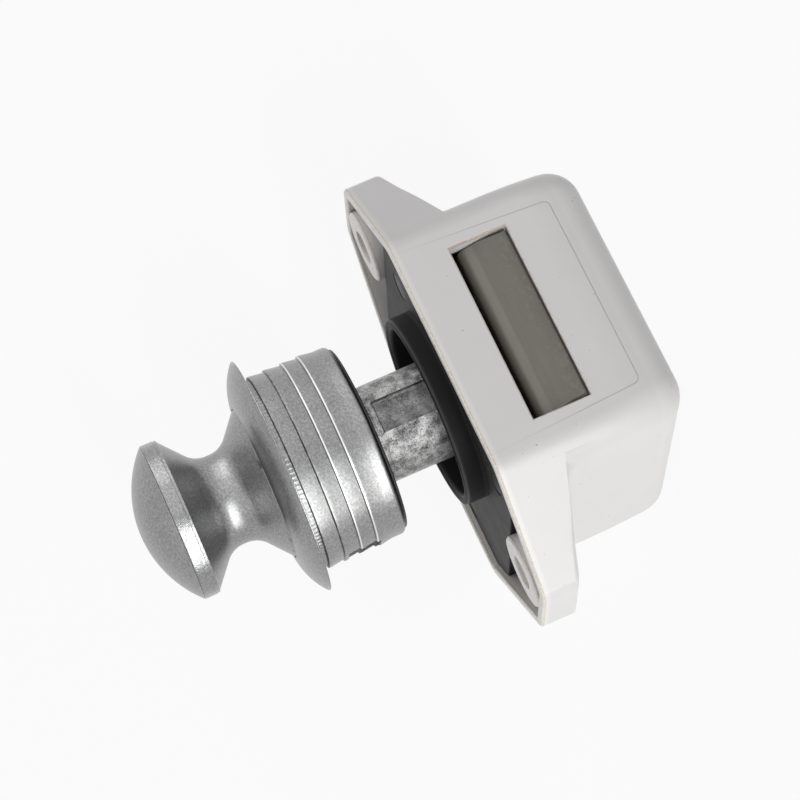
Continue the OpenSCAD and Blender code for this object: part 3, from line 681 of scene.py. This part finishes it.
def make_shaft():
    """Rows along the shaft's axis. Each row is a section scaled towards the axis for chamfers and
    bores. The front of the groove is one step from the round section to the grooved one."""
    plain, grooved = shaft_section(False), shaft_section(True)
    stud_bore, spring_bore = stud_bore_r / shaft_r, spring_bore_r / shaft_r
    rows = [
        (plain, 0, stud_bore_end), (plain, stud_bore, stud_bore_end),
        (plain, stud_bore, shaft_front), (plain, 1 - 0.4 / shaft_r, shaft_front),
        (plain, 1, shaft_front + 0.4),
        (plain, 1, shaft_front + 0.45), (plain, 1, groove_front - 0.05), (plain, 1, groove_front),
        (grooved, 1, groove_front + 0.25), (grooved, 1, groove_front + 0.3),
        (grooved, 1, shaft_rear - 0.55), (grooved, 1, shaft_rear - 0.5),
        (grooved, 1 - 0.5 / shaft_r, shaft_rear), (plain, spring_bore, shaft_rear),
        (plain, spring_bore, spring_bore_end), (plain, 0, spring_bore_end),
    ]
    points = np.array([
        np.stack([section[:, 0] * scale, np.full(len(section), y), section[:, 1] * scale], -1)
        for section, scale, y in rows
    ])
    return points, grid_faces(len(rows), len(plain), close_columns=True)


zinc = Recipe("shaft_raw_zinc", Base_Color=(0.42, 0.42, 0.42, 1), Metallic=1.0, Roughness=0.5)
point = zinc.place()
x, y, z = zinc.parts(point)
grain = zinc.noise(point, 5.0, 3, 0.75)
patches = zinc.noise(point, 0.8, 4, 0.65)
crystals = zinc.node(
    "ShaderNodeTexVoronoi", {"feature": "F1"}, {"Vector": point, "Scale": 2.4}, output=1)
spangle = zinc.parts(crystals)[0]
drag = zinc.noise(zinc.stretched(point, (3.0, 0.6, 3.0)), 1.0, 4, 0.65)
# The groove's floor is painted darker: painted shade in the channel
channel = (abs(x) - groove_half).rise(0.05, -0.1) * z.rise(groove_floor + 0.5, groove_floor + 0.1)
colour = zinc.mix(patches.rise(0.3, 0.7), (0.12, 0.12, 0.122, 1), (0.58, 0.58, 0.57, 1))
colour = zinc.mix(grain.rise(0.54, 0.7) * 0.8, colour, (0.66, 0.66, 0.65, 1))
colour = zinc.mix(grain.rise(0.47, 0.36) * 0.8, colour, (0.045, 0.045, 0.048, 1))
colour = zinc.mix(drag.rise(0.42, 0.3) * 0.6, colour, (0.09, 0.09, 0.095, 1))
colour = zinc.mix(channel * 0.55, colour, (0.14, 0.14, 0.14, 1))
relief = grain + spangle * 0.5 + drag * 0.6 + patches
shaft = make_piece("shaft_casting", *make_shaft(), zinc.finish(
    Base_Color=colour,
    Roughness=0.2 + patches * 0.22,
    Normal=zinc.bump(relief, 0.1),
), "plunger")
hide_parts("shaft")

refinish("cam_pin", plated("cross_pin_steel", (0.6, 0.6, 0.59), 0.25, (0.1, 1, 1)))


# Return spring. Five turns of drawn spring wire, closed at both ends, between the shaft's bore
# and the housing's back wall. It pushes the knob out again.
def capped(rows, columns):
    """Faces of rings in a row, with one face over each end."""
    last = (rows - 1) * columns
    ends = [list(range(columns)), list(range(last, last + columns))]
    return grid_faces(rows, columns, close_columns=True) + ends


def wire_along(path, wire_r, sides=12):
    """A round wire along a path of points: at each point a ring of the wire's radius stands square
    to the path, turned so that its first point lies square to the Y axis too."""
    path = np.asarray(path, float)
    ahead = np.gradient(path, axis=0)
    ahead /= np.linalg.norm(ahead, axis=1)[:, None]
    guide = np.where(np.abs(ahead[:, 1:2]) > 0.9, (1.0, 0, 0), (0, 1.0, 0))
    side = np.cross(ahead, guide)
    side /= np.linalg.norm(side, axis=1)[:, None]
    over = np.cross(side, ahead)
    turn = np.linspace(0, 2 * np.pi, sides, endpoint=False)[:, None]
    rings = path[:, None] + wire_r * (
        np.cos(turn) * side[:, None] + np.sin(turn) * over[:, None])
    return rings, capped(len(path), sides)


spring_low, spring_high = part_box("return_spring")
wire_r, coil_r, turns = 0.35, 3.5, 5
front, rear = spring_low.y / mm + wire_r, spring_high.y / mm - wire_r
turn = np.linspace(0, turns, 36 * turns + 1)
pitch = 2 * wire_r + 0.45
places = np.interp(turn, [0, 1, turns - 1, turns], [front, front + pitch, rear - pitch, rear])
coil = np.stack([coil_r * np.cos(2 * np.pi * turn), places, coil_r * np.sin(2 * np.pi * turn)], -1)
spring = make_piece("return_spring_wire", *wire_along(coil, wire_r),
                    plated("return_spring_steel", (0.5, 0.5, 0.49), 0.26, (1, 1, 1)), "plunger")
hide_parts("return_spring")
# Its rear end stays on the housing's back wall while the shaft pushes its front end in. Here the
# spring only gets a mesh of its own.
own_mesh(spring)


# Adjusting stud and lock nut. The stud is an M6 threaded rod between knob and shaft, and the nut
# locks the knob on it once the lock is set to the door's thickness. Both are zinc-plated steel.
stud_low, stud_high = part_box("adjust_stud")
stud_r, thread_pitch = stud_high.x / mm, 1.0


def threaded_rod(radius, start, end, pitch, depth):
    """Radius at angle u and place y: a ridge that climbs one pitch each turn, with flat crests and
    roots, fading out over the last pitch at both ends, where the rod is chamfered."""
    u = np.linspace(0, 2 * np.pi, 48, endpoint=False)
    y = np.arange(start, end + 0.001, pitch / 8)[:, None]
    phase = np.mod((y - start) / pitch - u / (2 * np.pi), 1)
    ridge = np.clip(np.abs(phase - 0.5) * 3.2 - 0.3, 0, 1)
    ends = np.clip(np.minimum(y - start, end - y) / (0.6 * pitch), 0, 1)
    r = radius - depth * ridge * ends - 0.5 * (1 - ends)
    return around_y(r, y, u), capped(*r.shape)


stud_shape = threaded_rod(stud_r, stud_low.y / mm, stud_high.y / mm, thread_pitch, 0.5)
stud = make_piece("adjusting_stud", *stud_shape,
                  plated("stud_zinc", (0.58, 0.57, 0.52), 0.3, (1, 0.2, 1)), "knob_set", 50)
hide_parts("adjust_stud")

nut_low, nut_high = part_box("lock_nut")
nut_flat, nut_bore = 5.0, 3.0


def hexagon_nut(front, rear):
    """Radius at angle u is that of a hexagon, cut back to a cone of 30 degrees at both faces."""
    u = np.linspace(0, 2 * np.pi, 144, endpoint=False)
    hexagon = nut_flat / np.cos(np.mod(u, np.pi / 3) - np.pi / 6)
    y = np.array([front, front, front + 0.1, front + 0.25, front + 0.45,
                  rear - 0.45, rear - 0.25, rear - 0.1, rear, rear])[:, None]
    inward = np.zeros_like(y)
    inward[[0, -1]] = nut_bore + 0.3
    cone = nut_flat * 0.96 + np.minimum(y - front, rear - y) / math.tan(math.radians(30))
    r = np.where(inward > 0, inward, np.minimum(hexagon, cone))
    y = np.vstack([y, [[rear - 0.3], [front + 0.3]]])
    r = np.vstack([r, np.full((2, len(u)), nut_bore)])
    return around_y(r, y, u), grid_faces(*r.shape, close_rows=True, close_columns=True)


nut = make_piece("lock_nut_hexagon", *hexagon_nut(nut_low.y / mm, nut_high.y / mm),
                 plated("nut_zinc", (0.6, 0.59, 0.54), 0.3, (1, 1, 1)), "knob_set", 25)
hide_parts("lock_nut")


# Knob. A zinc casting, bead blasted and satin nickel plated: domed head with a straight edge, a
# waist between two cones, and a skirt that slides in the rosette. It screws onto the stud.
def arc_line(centre, radius, start, end, count):
    """Points on a circle from angle start to end in degrees, measured from the first axis."""
    angle = np.radians(np.linspace(start, end, count))
    return np.stack([centre[0] + radius * np.cos(angle), centre[1] + radius * np.sin(angle)], -1)


def satin_nickel(name):
    """Satin nickel over a bead-blasted casting: a fine even grain, slow tone changes from
    handling, and a few dark pin holes. Returns the recipe with what a piece builds on."""
    nickel = Recipe(name, Base_Color=(0.5, 0.5, 0.49, 1), Metallic=1.0, Roughness=0.34)
    point = nickel.place()
    grain = nickel.noise(point, 3.4, 3, 0.8)
    handling = nickel.noise(point, 0.22, 3, 0.6)
    pits = nickel.noise(point, 2.1, 1, 0.4).rise(0.78, 0.8)
    colour = nickel.mix(handling, (0.22, 0.223, 0.223, 1), (0.27, 0.27, 0.268, 1))
    colour = nickel.mix(grain.rise(0.4, 0.7) * 0.45, colour, (0.52, 0.52, 0.52, 1))
    colour = nickel.mix(grain.rise(0.45, 0.3) * 0.4, colour, (0.14, 0.14, 0.14, 1))
    colour = nickel.mix(pits * 0.6, colour, (0.14, 0.13, 0.13, 1))
    return nickel, point, colour, grain, handling


knob_low, knob_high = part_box("knob")
apex, knob_rear, head_r = knob_low.y / mm, knob_high.y / mm, knob_high.x / mm
dome_t, head_y, mouth_y, base_r, waist_r, waist_fillet = 4.25, -34.7, -24.4, 9.95, 5.975, 3.2
dome_y, edge_y, socket_r, socket_end = apex + dome_t, head_y - 0.4, 3.0, -36.5
dome_r = (head_r ** 2 + dome_t ** 2) / (2 * dome_t)
dome_angle = math.degrees(math.asin(head_r / dome_r))
waist_x = waist_r + waist_fillet
head_fillet_y = head_y + 4.995
base_fillet_y = mouth_y - 4.827
knob_profile = np.vstack([
    arc_line((0, apex + dome_r), dome_r, -90, dome_angle - 90 - 0.4, 33),
    rounded([
        (head_r - 0.12, dome_y - 0.06, 0), (head_r, dome_y + 0.02, 0.1),
        (head_r, edge_y - 0.02, 0.05), (head_r - 0.07, edge_y, 0.03),
        (head_r - 0.07, head_y - 0.02, 0.15), (head_r - 0.4, head_y + 0.12, 0),
    ], 18, 0.02),
    arc_line((waist_x, head_fillet_y), waist_fillet, 230, 180, 14),
    arc_line((waist_x, base_fillet_y), waist_fillet, 180, 130, 14),
    rounded([
        (base_r - 0.3, mouth_y - 0.25, 0), (base_r, mouth_y, 0.12), (base_r, knob_rear, 0.2),
        (socket_r + 0.4, knob_rear, 0.1), (socket_r, knob_rear - 0.4, 0.1),
        (socket_r, socket_end, 0.2), (0, socket_end, 0),
    ], 20),
])
nickel, point, colour, grain, handling = satin_nickel("knob_satin_nickel")
x, y, z = nickel.parts(point)
radius = (x * x + z * z).math("SQRT")
# A faint parting line of the die along each side, and polished edges on the head
parting = z.line(0, 0.06) * y.rise(head_y + 0.2, head_y + 1.2) * 0.25
polish = radius.rise(head_r - 0.22, head_r - 0.03)
dust = radius.rise(base_r - 0.5, base_r - 0.1) * y.rise(mouth_y - 0.9, mouth_y - 0.2)
dust = dust * nickel.noise(point, 0.5, 2).rise(0.6, 0.72)
colour = nickel.mix(parting, colour, (0.35, 0.35, 0.35, 1))
colour = nickel.mix(dust * 0.8, colour, (0.06, 0.055, 0.05, 1))
knob = make_piece("knob_casting", *turned_about_y(knob_profile), nickel.finish(
    Base_Color=colour,
    Roughness=0.28 + handling * 0.08 - polish * 0.1,
    Normal=nickel.bump(grain + parting, 0.022),
), "knob_set", 26)
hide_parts("knob")


# Bolt. A moulding in olive-grey glass-filled nylon that fills its slot in the housing. Its edge on
# the door's side is rounded, so that the door draws shut, and two roll pins hold it on its slide.
bolt_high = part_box("bolt")[1]
olive = Recipe("bolt_nylon", Base_Color=(0.14, 0.135, 0.11, 1), Roughness=0.38, IOR=1.53)
point = olive.place()
x, y, z = olive.parts(point)
flow = olive.noise(olive.stretched(point, (0.35, 1.5, 1.5)), 0.8, 4, 0.6)
fibre = olive.noise(point, 8.0, 3, 0.75)
bolt_half, bolt_end, nose_y = bolt_high.x / mm, bolt_high.z / mm, 9.1
rub = z.rise(bolt_end - 0.25, bolt_end - 0.02) * olive.noise(point, 1.6, 3).rise(0.5, 0.7)
# A painted highlight runs along the top edge at both ends of the bolt
edge = (abs(x) - bolt_half).line(-0.15, 0.25) * z.rise(bolt_end - 1.2, bolt_end - 0.5)
# A painted highlight runs along the nose's rounding, which is also a little glossier there
nose_highlight = y.line(nose_y, 0.8) * z.rise(bolt_end - 2.2, bolt_end - 0.9)
colour = olive.mix(flow, (0.124, 0.118, 0.095, 1), (0.168, 0.16, 0.132, 1))
colour = olive.mix(nose_highlight * 0.45, colour, (0.25, 0.242, 0.205, 1))
colour = olive.mix(fibre.rise(0.55, 0.75) * 0.5, colour, (0.29, 0.28, 0.235, 1))
colour = olive.mix((rub * 0.2).most(edge * 0.35), colour, (0.34, 0.32, 0.27, 1))
bolt = soft_edged("bolt_moulding", "bolt", 0.12, "bolt_carriage", olive.finish(
    Base_Color=colour,
    Roughness=0.34 + flow * 0.12 - nose_highlight * 0.08,
    Normal=olive.bump(fibre * 0.8 + flow, 0.02),
), 24)


# Bolt slide, heart cam and roll pins. The slide is a natural acetal moulding with two cheeks, whose
# inclined slots turn the push into the bolt's throw. The cam is nylon; the pins are steel.
def natural_plastic(name, light, dark, roughness):
    """Uncoloured engineering plastic: milky, with slow flow clouds, tiny dust and a faint grain."""
    plastic = Recipe(name, Base_Color=light + (1,), Roughness=roughness, IOR=1.48,
                     Subsurface_Weight=0.08, Subsurface_Scale=0.002)
    point = plastic.place()
    flow = plastic.noise(plastic.stretched(point, (0.6, 0.6, 0.25)), 0.5, 4, 0.6)
    dust = plastic.noise(point, 3.0, 1, 0.4).rise(0.74, 0.78)
    colour = plastic.mix(flow, light + (1,), dark + (1,))
    colour = plastic.mix(dust * 0.6, colour, (0.2, 0.16, 0.1, 1))
    return plastic.finish(
        Base_Color=colour,
        Roughness=roughness - 0.04 + flow * 0.1,
        Normal=plastic.bump(flow + plastic.noise(point, 8.0, 2) * 0.4, 0.01),
    )


slide = soft_edged("bolt_slide_moulding", "bolt_slide", 0.08, "bolt_carriage",
                   natural_plastic("slide_acetal", (0.8, 0.8, 0.78), (0.72, 0.72, 0.7), 0.4))
cam = soft_edged("heart_cam_moulding", "heart_cam", 0.12, "bolt_carriage",
                 natural_plastic("cam_nylon", (0.85, 0.82, 0.72), (0.76, 0.72, 0.6), 0.42))
refinish("roll_pins", plated("roll_pin_steel", (0.45, 0.45, 0.45), 0.34, (1, 0.1, 1)))


# Catch wire. Hard-drawn wire bent twice: it pivots in the housing's end wall, and its tip follows
# the heart cam's track, which holds the bolt out until the next push.
wire_low, wire_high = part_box("catch_wire")
catch_r, bend_r, arm_x = 0.55, 0.5, 14.75
pivot_x, tip_x, catch_y = wire_high.x / mm, wire_low.x / mm, (wire_low.y + wire_high.y) / 2 / mm
pivot_z, tip_z = wire_low.z / mm + catch_r, wire_high.z / mm - catch_r
# In from the pivot, round a bend, up the arm, round a second bend and in to the tip
bent = rounded([
    (pivot_x, pivot_z, 0), (arm_x, pivot_z, bend_r), (arm_x, tip_z, bend_r), (tip_x, tip_z, 0)
], 12, 0.05)
bent = np.insert(bent, 1, catch_y, axis=1)
catch = make_piece("catch_wire_bent", *wire_along(bent, catch_r, 20),
                   plated("catch_wire_steel", (0.5, 0.5, 0.49), 0.24, (1, 1, 0.15)), "catch", 50)
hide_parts("catch_wire")


# Rosette. A turned and blasted zinc ring, satin nickel plated like the knob: a flange with a
# rolled front, a knurled neck, and a collar whose four barbs grip the door's hole.
_, rosette_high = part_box("rosette")
flange_r, seat_y, collar_end = rosette_high.x / mm, -22.0, rosette_high.y / mm
mouth_r, crest_r, root_r, land_r, neck_r = 10.1, 13.0, 12.75, 12.7, 12.6
barb_y, barb_pitch, crest_l = seat_y + 0.9, 2.18, 0.25
window_front = barb_y + barb_pitch + 0.5
window_rear = window_front + 2 * barb_pitch
window_half, channel_x, window_columns = 2.8, 11.3, 17
window_turn = math.radians(12)
flange_arc_r, flange_back_r = 8.8, 0.06


def rosette_outline():
    """Outer line from the bore's mouth round the flange, along the barbs to the collar's rear end,
    with a point exactly where the windows start and end."""
    front = arc_line((9.7, mouth_y + flange_arc_r), flange_arc_r, -84.1, -48.6, 24)
    barbs = []
    for i in range(4):
        crest = barb_y + i * barb_pitch
        next_root = (root_r, crest + barb_pitch - 0.1) if i < 3 else (land_r, crest + barb_pitch)
        slope = (next_root[0] - crest_r) / (next_root[1] - crest - crest_l)
        barbs += [(crest_r - 0.03, crest), (crest_r, crest + 0.05), (crest_r, crest + crest_l)]
        for cut in (window_front, window_rear):
            if crest + crest_l < cut < next_root[1]:
                barbs.append((crest_r + slope * (cut - crest - crest_l), cut))
        barbs.append(next_root)
    tail = rounded([(land_r, barb_y + 4 * barb_pitch + 0.3, 0), (land_r, collar_end, 0.7),
                    (mouth_r + 0.3, collar_end, 0)], 12)
    return np.vstack([
        rounded([(mouth_r, mouth_y + 0.5, 0), (mouth_r, mouth_y, 0.08),
                 (mouth_r + 0.3, mouth_y, 0)], 20, 0.02),
        front,
        rounded([(flange_r - 0.05, seat_y - 0.21, 0), (flange_r, seat_y - 0.14, flange_back_r),
                 (flange_r, seat_y, flange_back_r), (neck_r + 0.2, seat_y, 0),
                 (neck_r, seat_y, 0), (neck_r, barb_y - 0.06, 0)], 20, 0.02),
        barbs, tail,
    ])


def make_rosette():
    """A closed line round the wall, outer side then bore, carried round the Y axis. Each window is
    a band of columns between two flats 5.6 mm apart. Its cells are left out, and four walls join
    the outer skin to the bore, which is cut back to a flat channel behind the window."""
    outer = rosette_outline()
    radius, y = outer.T
    in_window = (y > window_front - 1e-6) & (y < window_rear + 1e-6) & (radius > 12)
    cuts = y[in_window][::-1]
    bore = [(mouth_r, place) for place in (collar_end, *cuts, mouth_y + 0.5)]
    r, y = np.vstack([outer, bore]).T[..., None]
    first, last = np.flatnonzero(in_window)[[0, -1]]
    bore_first = len(outer) + 1
    bore_last = bore_first + len(cuts) - 1
    # Columns: within a window evenly across its flats, between windows evenly in angle
    channel = np.zeros((len(r), 1), bool)
    channel[len(outer):bore_last + 1] = True
    edge = np.arcsin(window_half / np.where(channel, math.hypot(channel_x, window_half), r))
    plain_edge = np.arcsin(window_half / r)
    within = np.linspace(-1, 1, window_columns) * edge
    from_axis = np.where(channel, channel_x / np.cos(within), r)
    between = plain_edge + np.linspace(0, 1, 97)[1:-1] * (np.pi - 2 * plain_edge)
    columns = []
    for base in (np.pi / 2 + window_turn, 3 * np.pi / 2 + window_turn):
        columns += [around_y(r, y, base - plain_edge), around_y(from_axis, y, base + within),
                    around_y(r, y, base + plain_edge), around_y(r, y, base + between)]
    points = np.concatenate(columns, axis=1)
    index = np.arange(points[..., 0].size).reshape(points.shape[:2])
    keep = np.ones(index.shape, bool)
    skin, inner = index[first:last + 1], index[bore_last:bore_first - 1:-1]
    walls = []
    for a in (0, index.shape[1] // 2):
        b = a + window_columns + 1
        keep[first:last, a:b] = False
        keep[bore_first:bore_last, a:b] = False
        across = slice(a, b + 1)
        walls += [(skin[:, a], inner[:, a]), (inner[:, b], skin[:, b]),
                  (inner[0, across], skin[0, across]), (skin[-1, across], inner[-1, across])]
    faces = [quads(index, True, True)[keep.ravel()], *(quads(np.stack(pair)) for pair in walls)]
    return points, np.vstack(faces).tolist()


nickel, point, colour, grain, handling = satin_nickel("rosette_satin_nickel")
x, y, z = nickel.parts(point)
radius = (x * x + z * z).math("SQRT")
turning = nickel.noise(nickel.stretched(point, (0.05, 5.0, 0.05)), 2.0, 2, 0.5)
rim_polish = radius.rise(flange_r - 0.3, flange_r - 0.05)
# Painted shade in the steps in front of the first two barbs, and darker patches at the rear end
barbs = [barb_y + i * barb_pitch for i in range(4)]
step = y.line(barbs[0], 0.14).most(y.line(barbs[1], 0.12)) * radius.rise(12.3, 12.5)
step = step * nickel.noise(point, 0.9, 3).rise(0.35, 0.6)
rear = y.rise(collar_end - 0.5, collar_end - 0.1) * 0.5 * nickel.noise(point, 1.7).rise(0.5, 0.7)
colour = nickel.mix(step.most(rear) * 0.75, colour, (0.05, 0.048, 0.045, 1))
# A painted highlight on the two rear barbs
barb_highlight = y.line(barbs[2] + 0.12, 0.13).most(y.line(barbs[3] + 0.12, 0.13))
colour = nickel.mix(barb_highlight * radius.rise(12.8, 12.95) * 0.8, colour, (0.9, 0.9, 0.89, 1))
rosette = make_piece("rosette_ring", *make_rosette(), nickel.finish(
    Base_Color=colour,
    Roughness=0.28 + handling * 0.08 - rim_polish * 0.1,
    Normal=nickel.bump(grain + turning * 0.4, 0.022),
), "rosette_set", 20)
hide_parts("rosette")


def knurled_ring(ribs=132, per_rib=6):
    """A ring on the rosette's neck whose radius waves once for each rib, tapering out at both ends
    so that it lies in the neck."""
    u = np.linspace(0, 2 * np.pi, ribs * per_rib, endpoint=False)
    y = seat_y + np.array([-0.1, -0.1, 0.05, 0.25, 0.7, 0.95, 0.95])[:, None]
    tall = np.array([0, 0.02, 0.08, 0.08, 0.08, 0.02, 0])[:, None]
    r = np.where(tall > 0, neck_r - 0.03 + tall * (0.5 + 0.5 * np.cos(ribs * u)), neck_r - 0.5)
    return around_y(r, y, u), grid_faces(*r.shape, close_rows=True, close_columns=True)


knurl = make_piece("rosette_neck_knurl", *knurled_ring(),
                   bpy.data.materials["rosette_satin_nickel"], "rosette_set", 50)


# Rosette bush. A black acetal disc that closes the collar and centres the shaft. Two arms reach
# forward inside the collar and snap into its windows.
bush_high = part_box("rosette_bush")[1]
shaft_hole, hub_r, disc_r, disc_rear = 6.45, 10.05, 12.15, bush_high.y / mm
hub_front = collar_end - 0.8
bush_profile = rounded([
    (shaft_hole, collar_end, 0), (shaft_hole, hub_front, 0.1), (hub_r, hub_front, 0.15),
    (hub_r, collar_end, 0), (disc_r, collar_end, 0.05), (disc_r, disc_rear, 0.2),
    (shaft_hole, disc_rear, 0.15), (shaft_hole, collar_end, 0)
], 20)
black = Recipe("bush_acetal", Base_Color=(0.02, 0.02, 0.021, 1), Roughness=0.4, IOR=1.48)
point = black.place()
cloud = black.noise(point, 0.8, 3)
lint = black.noise(point, 4.0, 2, 0.6).rise(0.66, 0.74)
colour = black.mix(cloud, (0.014, 0.014, 0.015, 1), (0.028, 0.028, 0.029, 1))
bush_finish = black.finish(
    Base_Color=black.mix(lint * 0.4, colour, (0.16, 0.155, 0.15, 1)),
    Roughness=0.36 + cloud * 0.12,
    Normal=black.bump(cloud + black.noise(point, 8.0, 2) * 0.3, 0.01),
)
bush = make_piece("bush_disc", *turned_about_y(bush_profile, 192), bush_finish, "rosette_set", 30)
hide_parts("rosette_bush")


def clip_arm(side):
    """One arm as a closed outline in x and y with rounded corners, pushed out along z and turned
    with the windows. Its front end is thicker, where it snaps into one."""
    half = window_half - 0.15
    front, rear = window_front + 0.15, collar_end + 0.1
    inner, outer, snap = mouth_r + 0.15, 11.15, 12.25
    outline = rounded([
        (inner + 0.4, rear, 0), (inner, rear, 0.05), (inner, front, 0.1), (snap, front, 0.25),
        (snap, front + 1.75, 0.3), (outer, front + 2.2, 0.1), (outer, rear, 0.05),
        (inner + 0.4, rear, 0)
    ], 20)[:-1]
    middle = outline.mean(0)
    line = middle + (outline - middle) * np.array([0.93, 1.0, 1.0, 0.93])[:, None, None]
    out, y = side * line[..., 0], line[..., 1]
    across = np.array([-half, 0.12 - half, half - 0.12, half])[:, None]
    turn_cos, turn_sin = math.cos(window_turn), math.sin(window_turn)
    points = [out * turn_cos + across * turn_sin, y, across * turn_cos - out * turn_sin]
    return np.stack(points, -1), capped(*y.shape)


for side, name in ((1, "bush_arm_right"), (-1, "bush_arm_left")):
    arm = make_piece(name, *clip_arm(side), bush_finish, "rosette_set", 30)


# Studio. The lock rests on a pale table under two long soft lamps low on its right, a broad soft
# lamp above and fills from three sides. The camera, metal and glass see the surroundings as white.
def sees_white(recipe):
    """1 for rays from the camera, off metal and through glass, 0 for those that light the lock."""
    rays = ("Is Camera Ray", "Is Glossy Ray", "Is Transmission Ray")
    return sum(recipe.node("ShaderNodeLightPath", output=ray) for ray in rays)


span = np.linspace(-1500, 1500, 13)
floor_x, floor_y = np.meshgrid(span, span)
floor_points = np.stack([floor_x, floor_y, np.full_like(floor_x, cad_low.z / mm - 0.1)], -1)
table = Recipe("table_white", Base_Color=(0.84, 0.84, 0.84, 1), Roughness=0.85)
glow = table.node("ShaderNodeEmission", None, {"Color": (1, 1, 1, 1), "Strength": 1.0})
lit = Value(table, table.shader.outputs[0])
lit = table.node("ShaderNodeMixShader", None, {0: sees_white(table) * 0.9, 1: lit, 2: glow})
table.feed(table.nodes["Material Output"], {"Surface": lit})
table_top = bpy.data.meshes.new("table_top")
floor_faces = np.array(grid_faces(*floor_x.shape))[:, ::-1]
table_top.from_pydata((floor_points.reshape(-1, 3) * mm).tolist(), [], floor_faces.tolist())
table_top.materials.append(table.material)
floor = bpy.data.objects.new("table_top", table_top)
bpy.context.scene.collection.objects.link(floor)


def soft_lamp(name, towards, distance, width, length, watts, colour=(1, 1, 1)):
    """A rectangular lamp in that direction from the lock, facing it."""
    towards = Vector(towards).normalized()
    data = bpy.data.lights.new(name, "AREA")
    data.shape = "RECTANGLE"
    data.size, data.size_y = width, length
    data.energy = watts
    data.color = colour
    lamp = bpy.data.objects.new(name, data)
    facing = towards.to_track_quat("Z", "Y").to_matrix().to_4x4()
    lamp.matrix_world = Matrix.Translation(towards * distance) @ facing
    bpy.context.scene.collection.objects.link(lamp)


soft_lamp("strip_cool", (0.9, 0.05, 0.5), 0.6, 0.1, 0.7, 1.55, (0.95, 0.98, 1.0))
soft_lamp("strip_warm", (0.9, 0.1, 0.34), 0.6, 0.05, 0.7, 0.5, (1.0, 0.95, 0.86))
soft_lamp("overhead", (-0.2, -0.35, 0.9), 0.8, 0.9, 0.9, 1.05)
soft_lamp("left_fill", (-0.85, -0.3, 0.5), 0.8, 0.5, 0.7, 1.7)
soft_lamp("front_fill", (0.35, -0.9, 0.3), 0.8, 0.5, 0.5, 0.45)
soft_lamp("right_fill", (0.72, -0.25, 0.65), 0.8, 0.7, 0.7, 0.35)

# The light from the room is dark on the left and pale on the right
world = bpy.data.worlds.new("studio")
bpy.context.scene.world = world
sky = Recipe("studio", world)
towards_x = sky.parts(sky.node("ShaderNodeTexCoord", output="Generated"))[0]
rightward = sky.node("ShaderNodeMapRange", None, {0: towards_x, 1: -0.8, 2: 0.9})
room = sky.mix(rightward, (0.1, 0.1, 0.105, 1), (0.36, 0.36, 0.36, 1))
sky.finish(Color=sky.mix(sees_white(sky), room, (1, 1, 1, 1)))

bpy.context.scene.view_settings.view_transform = "Standard"
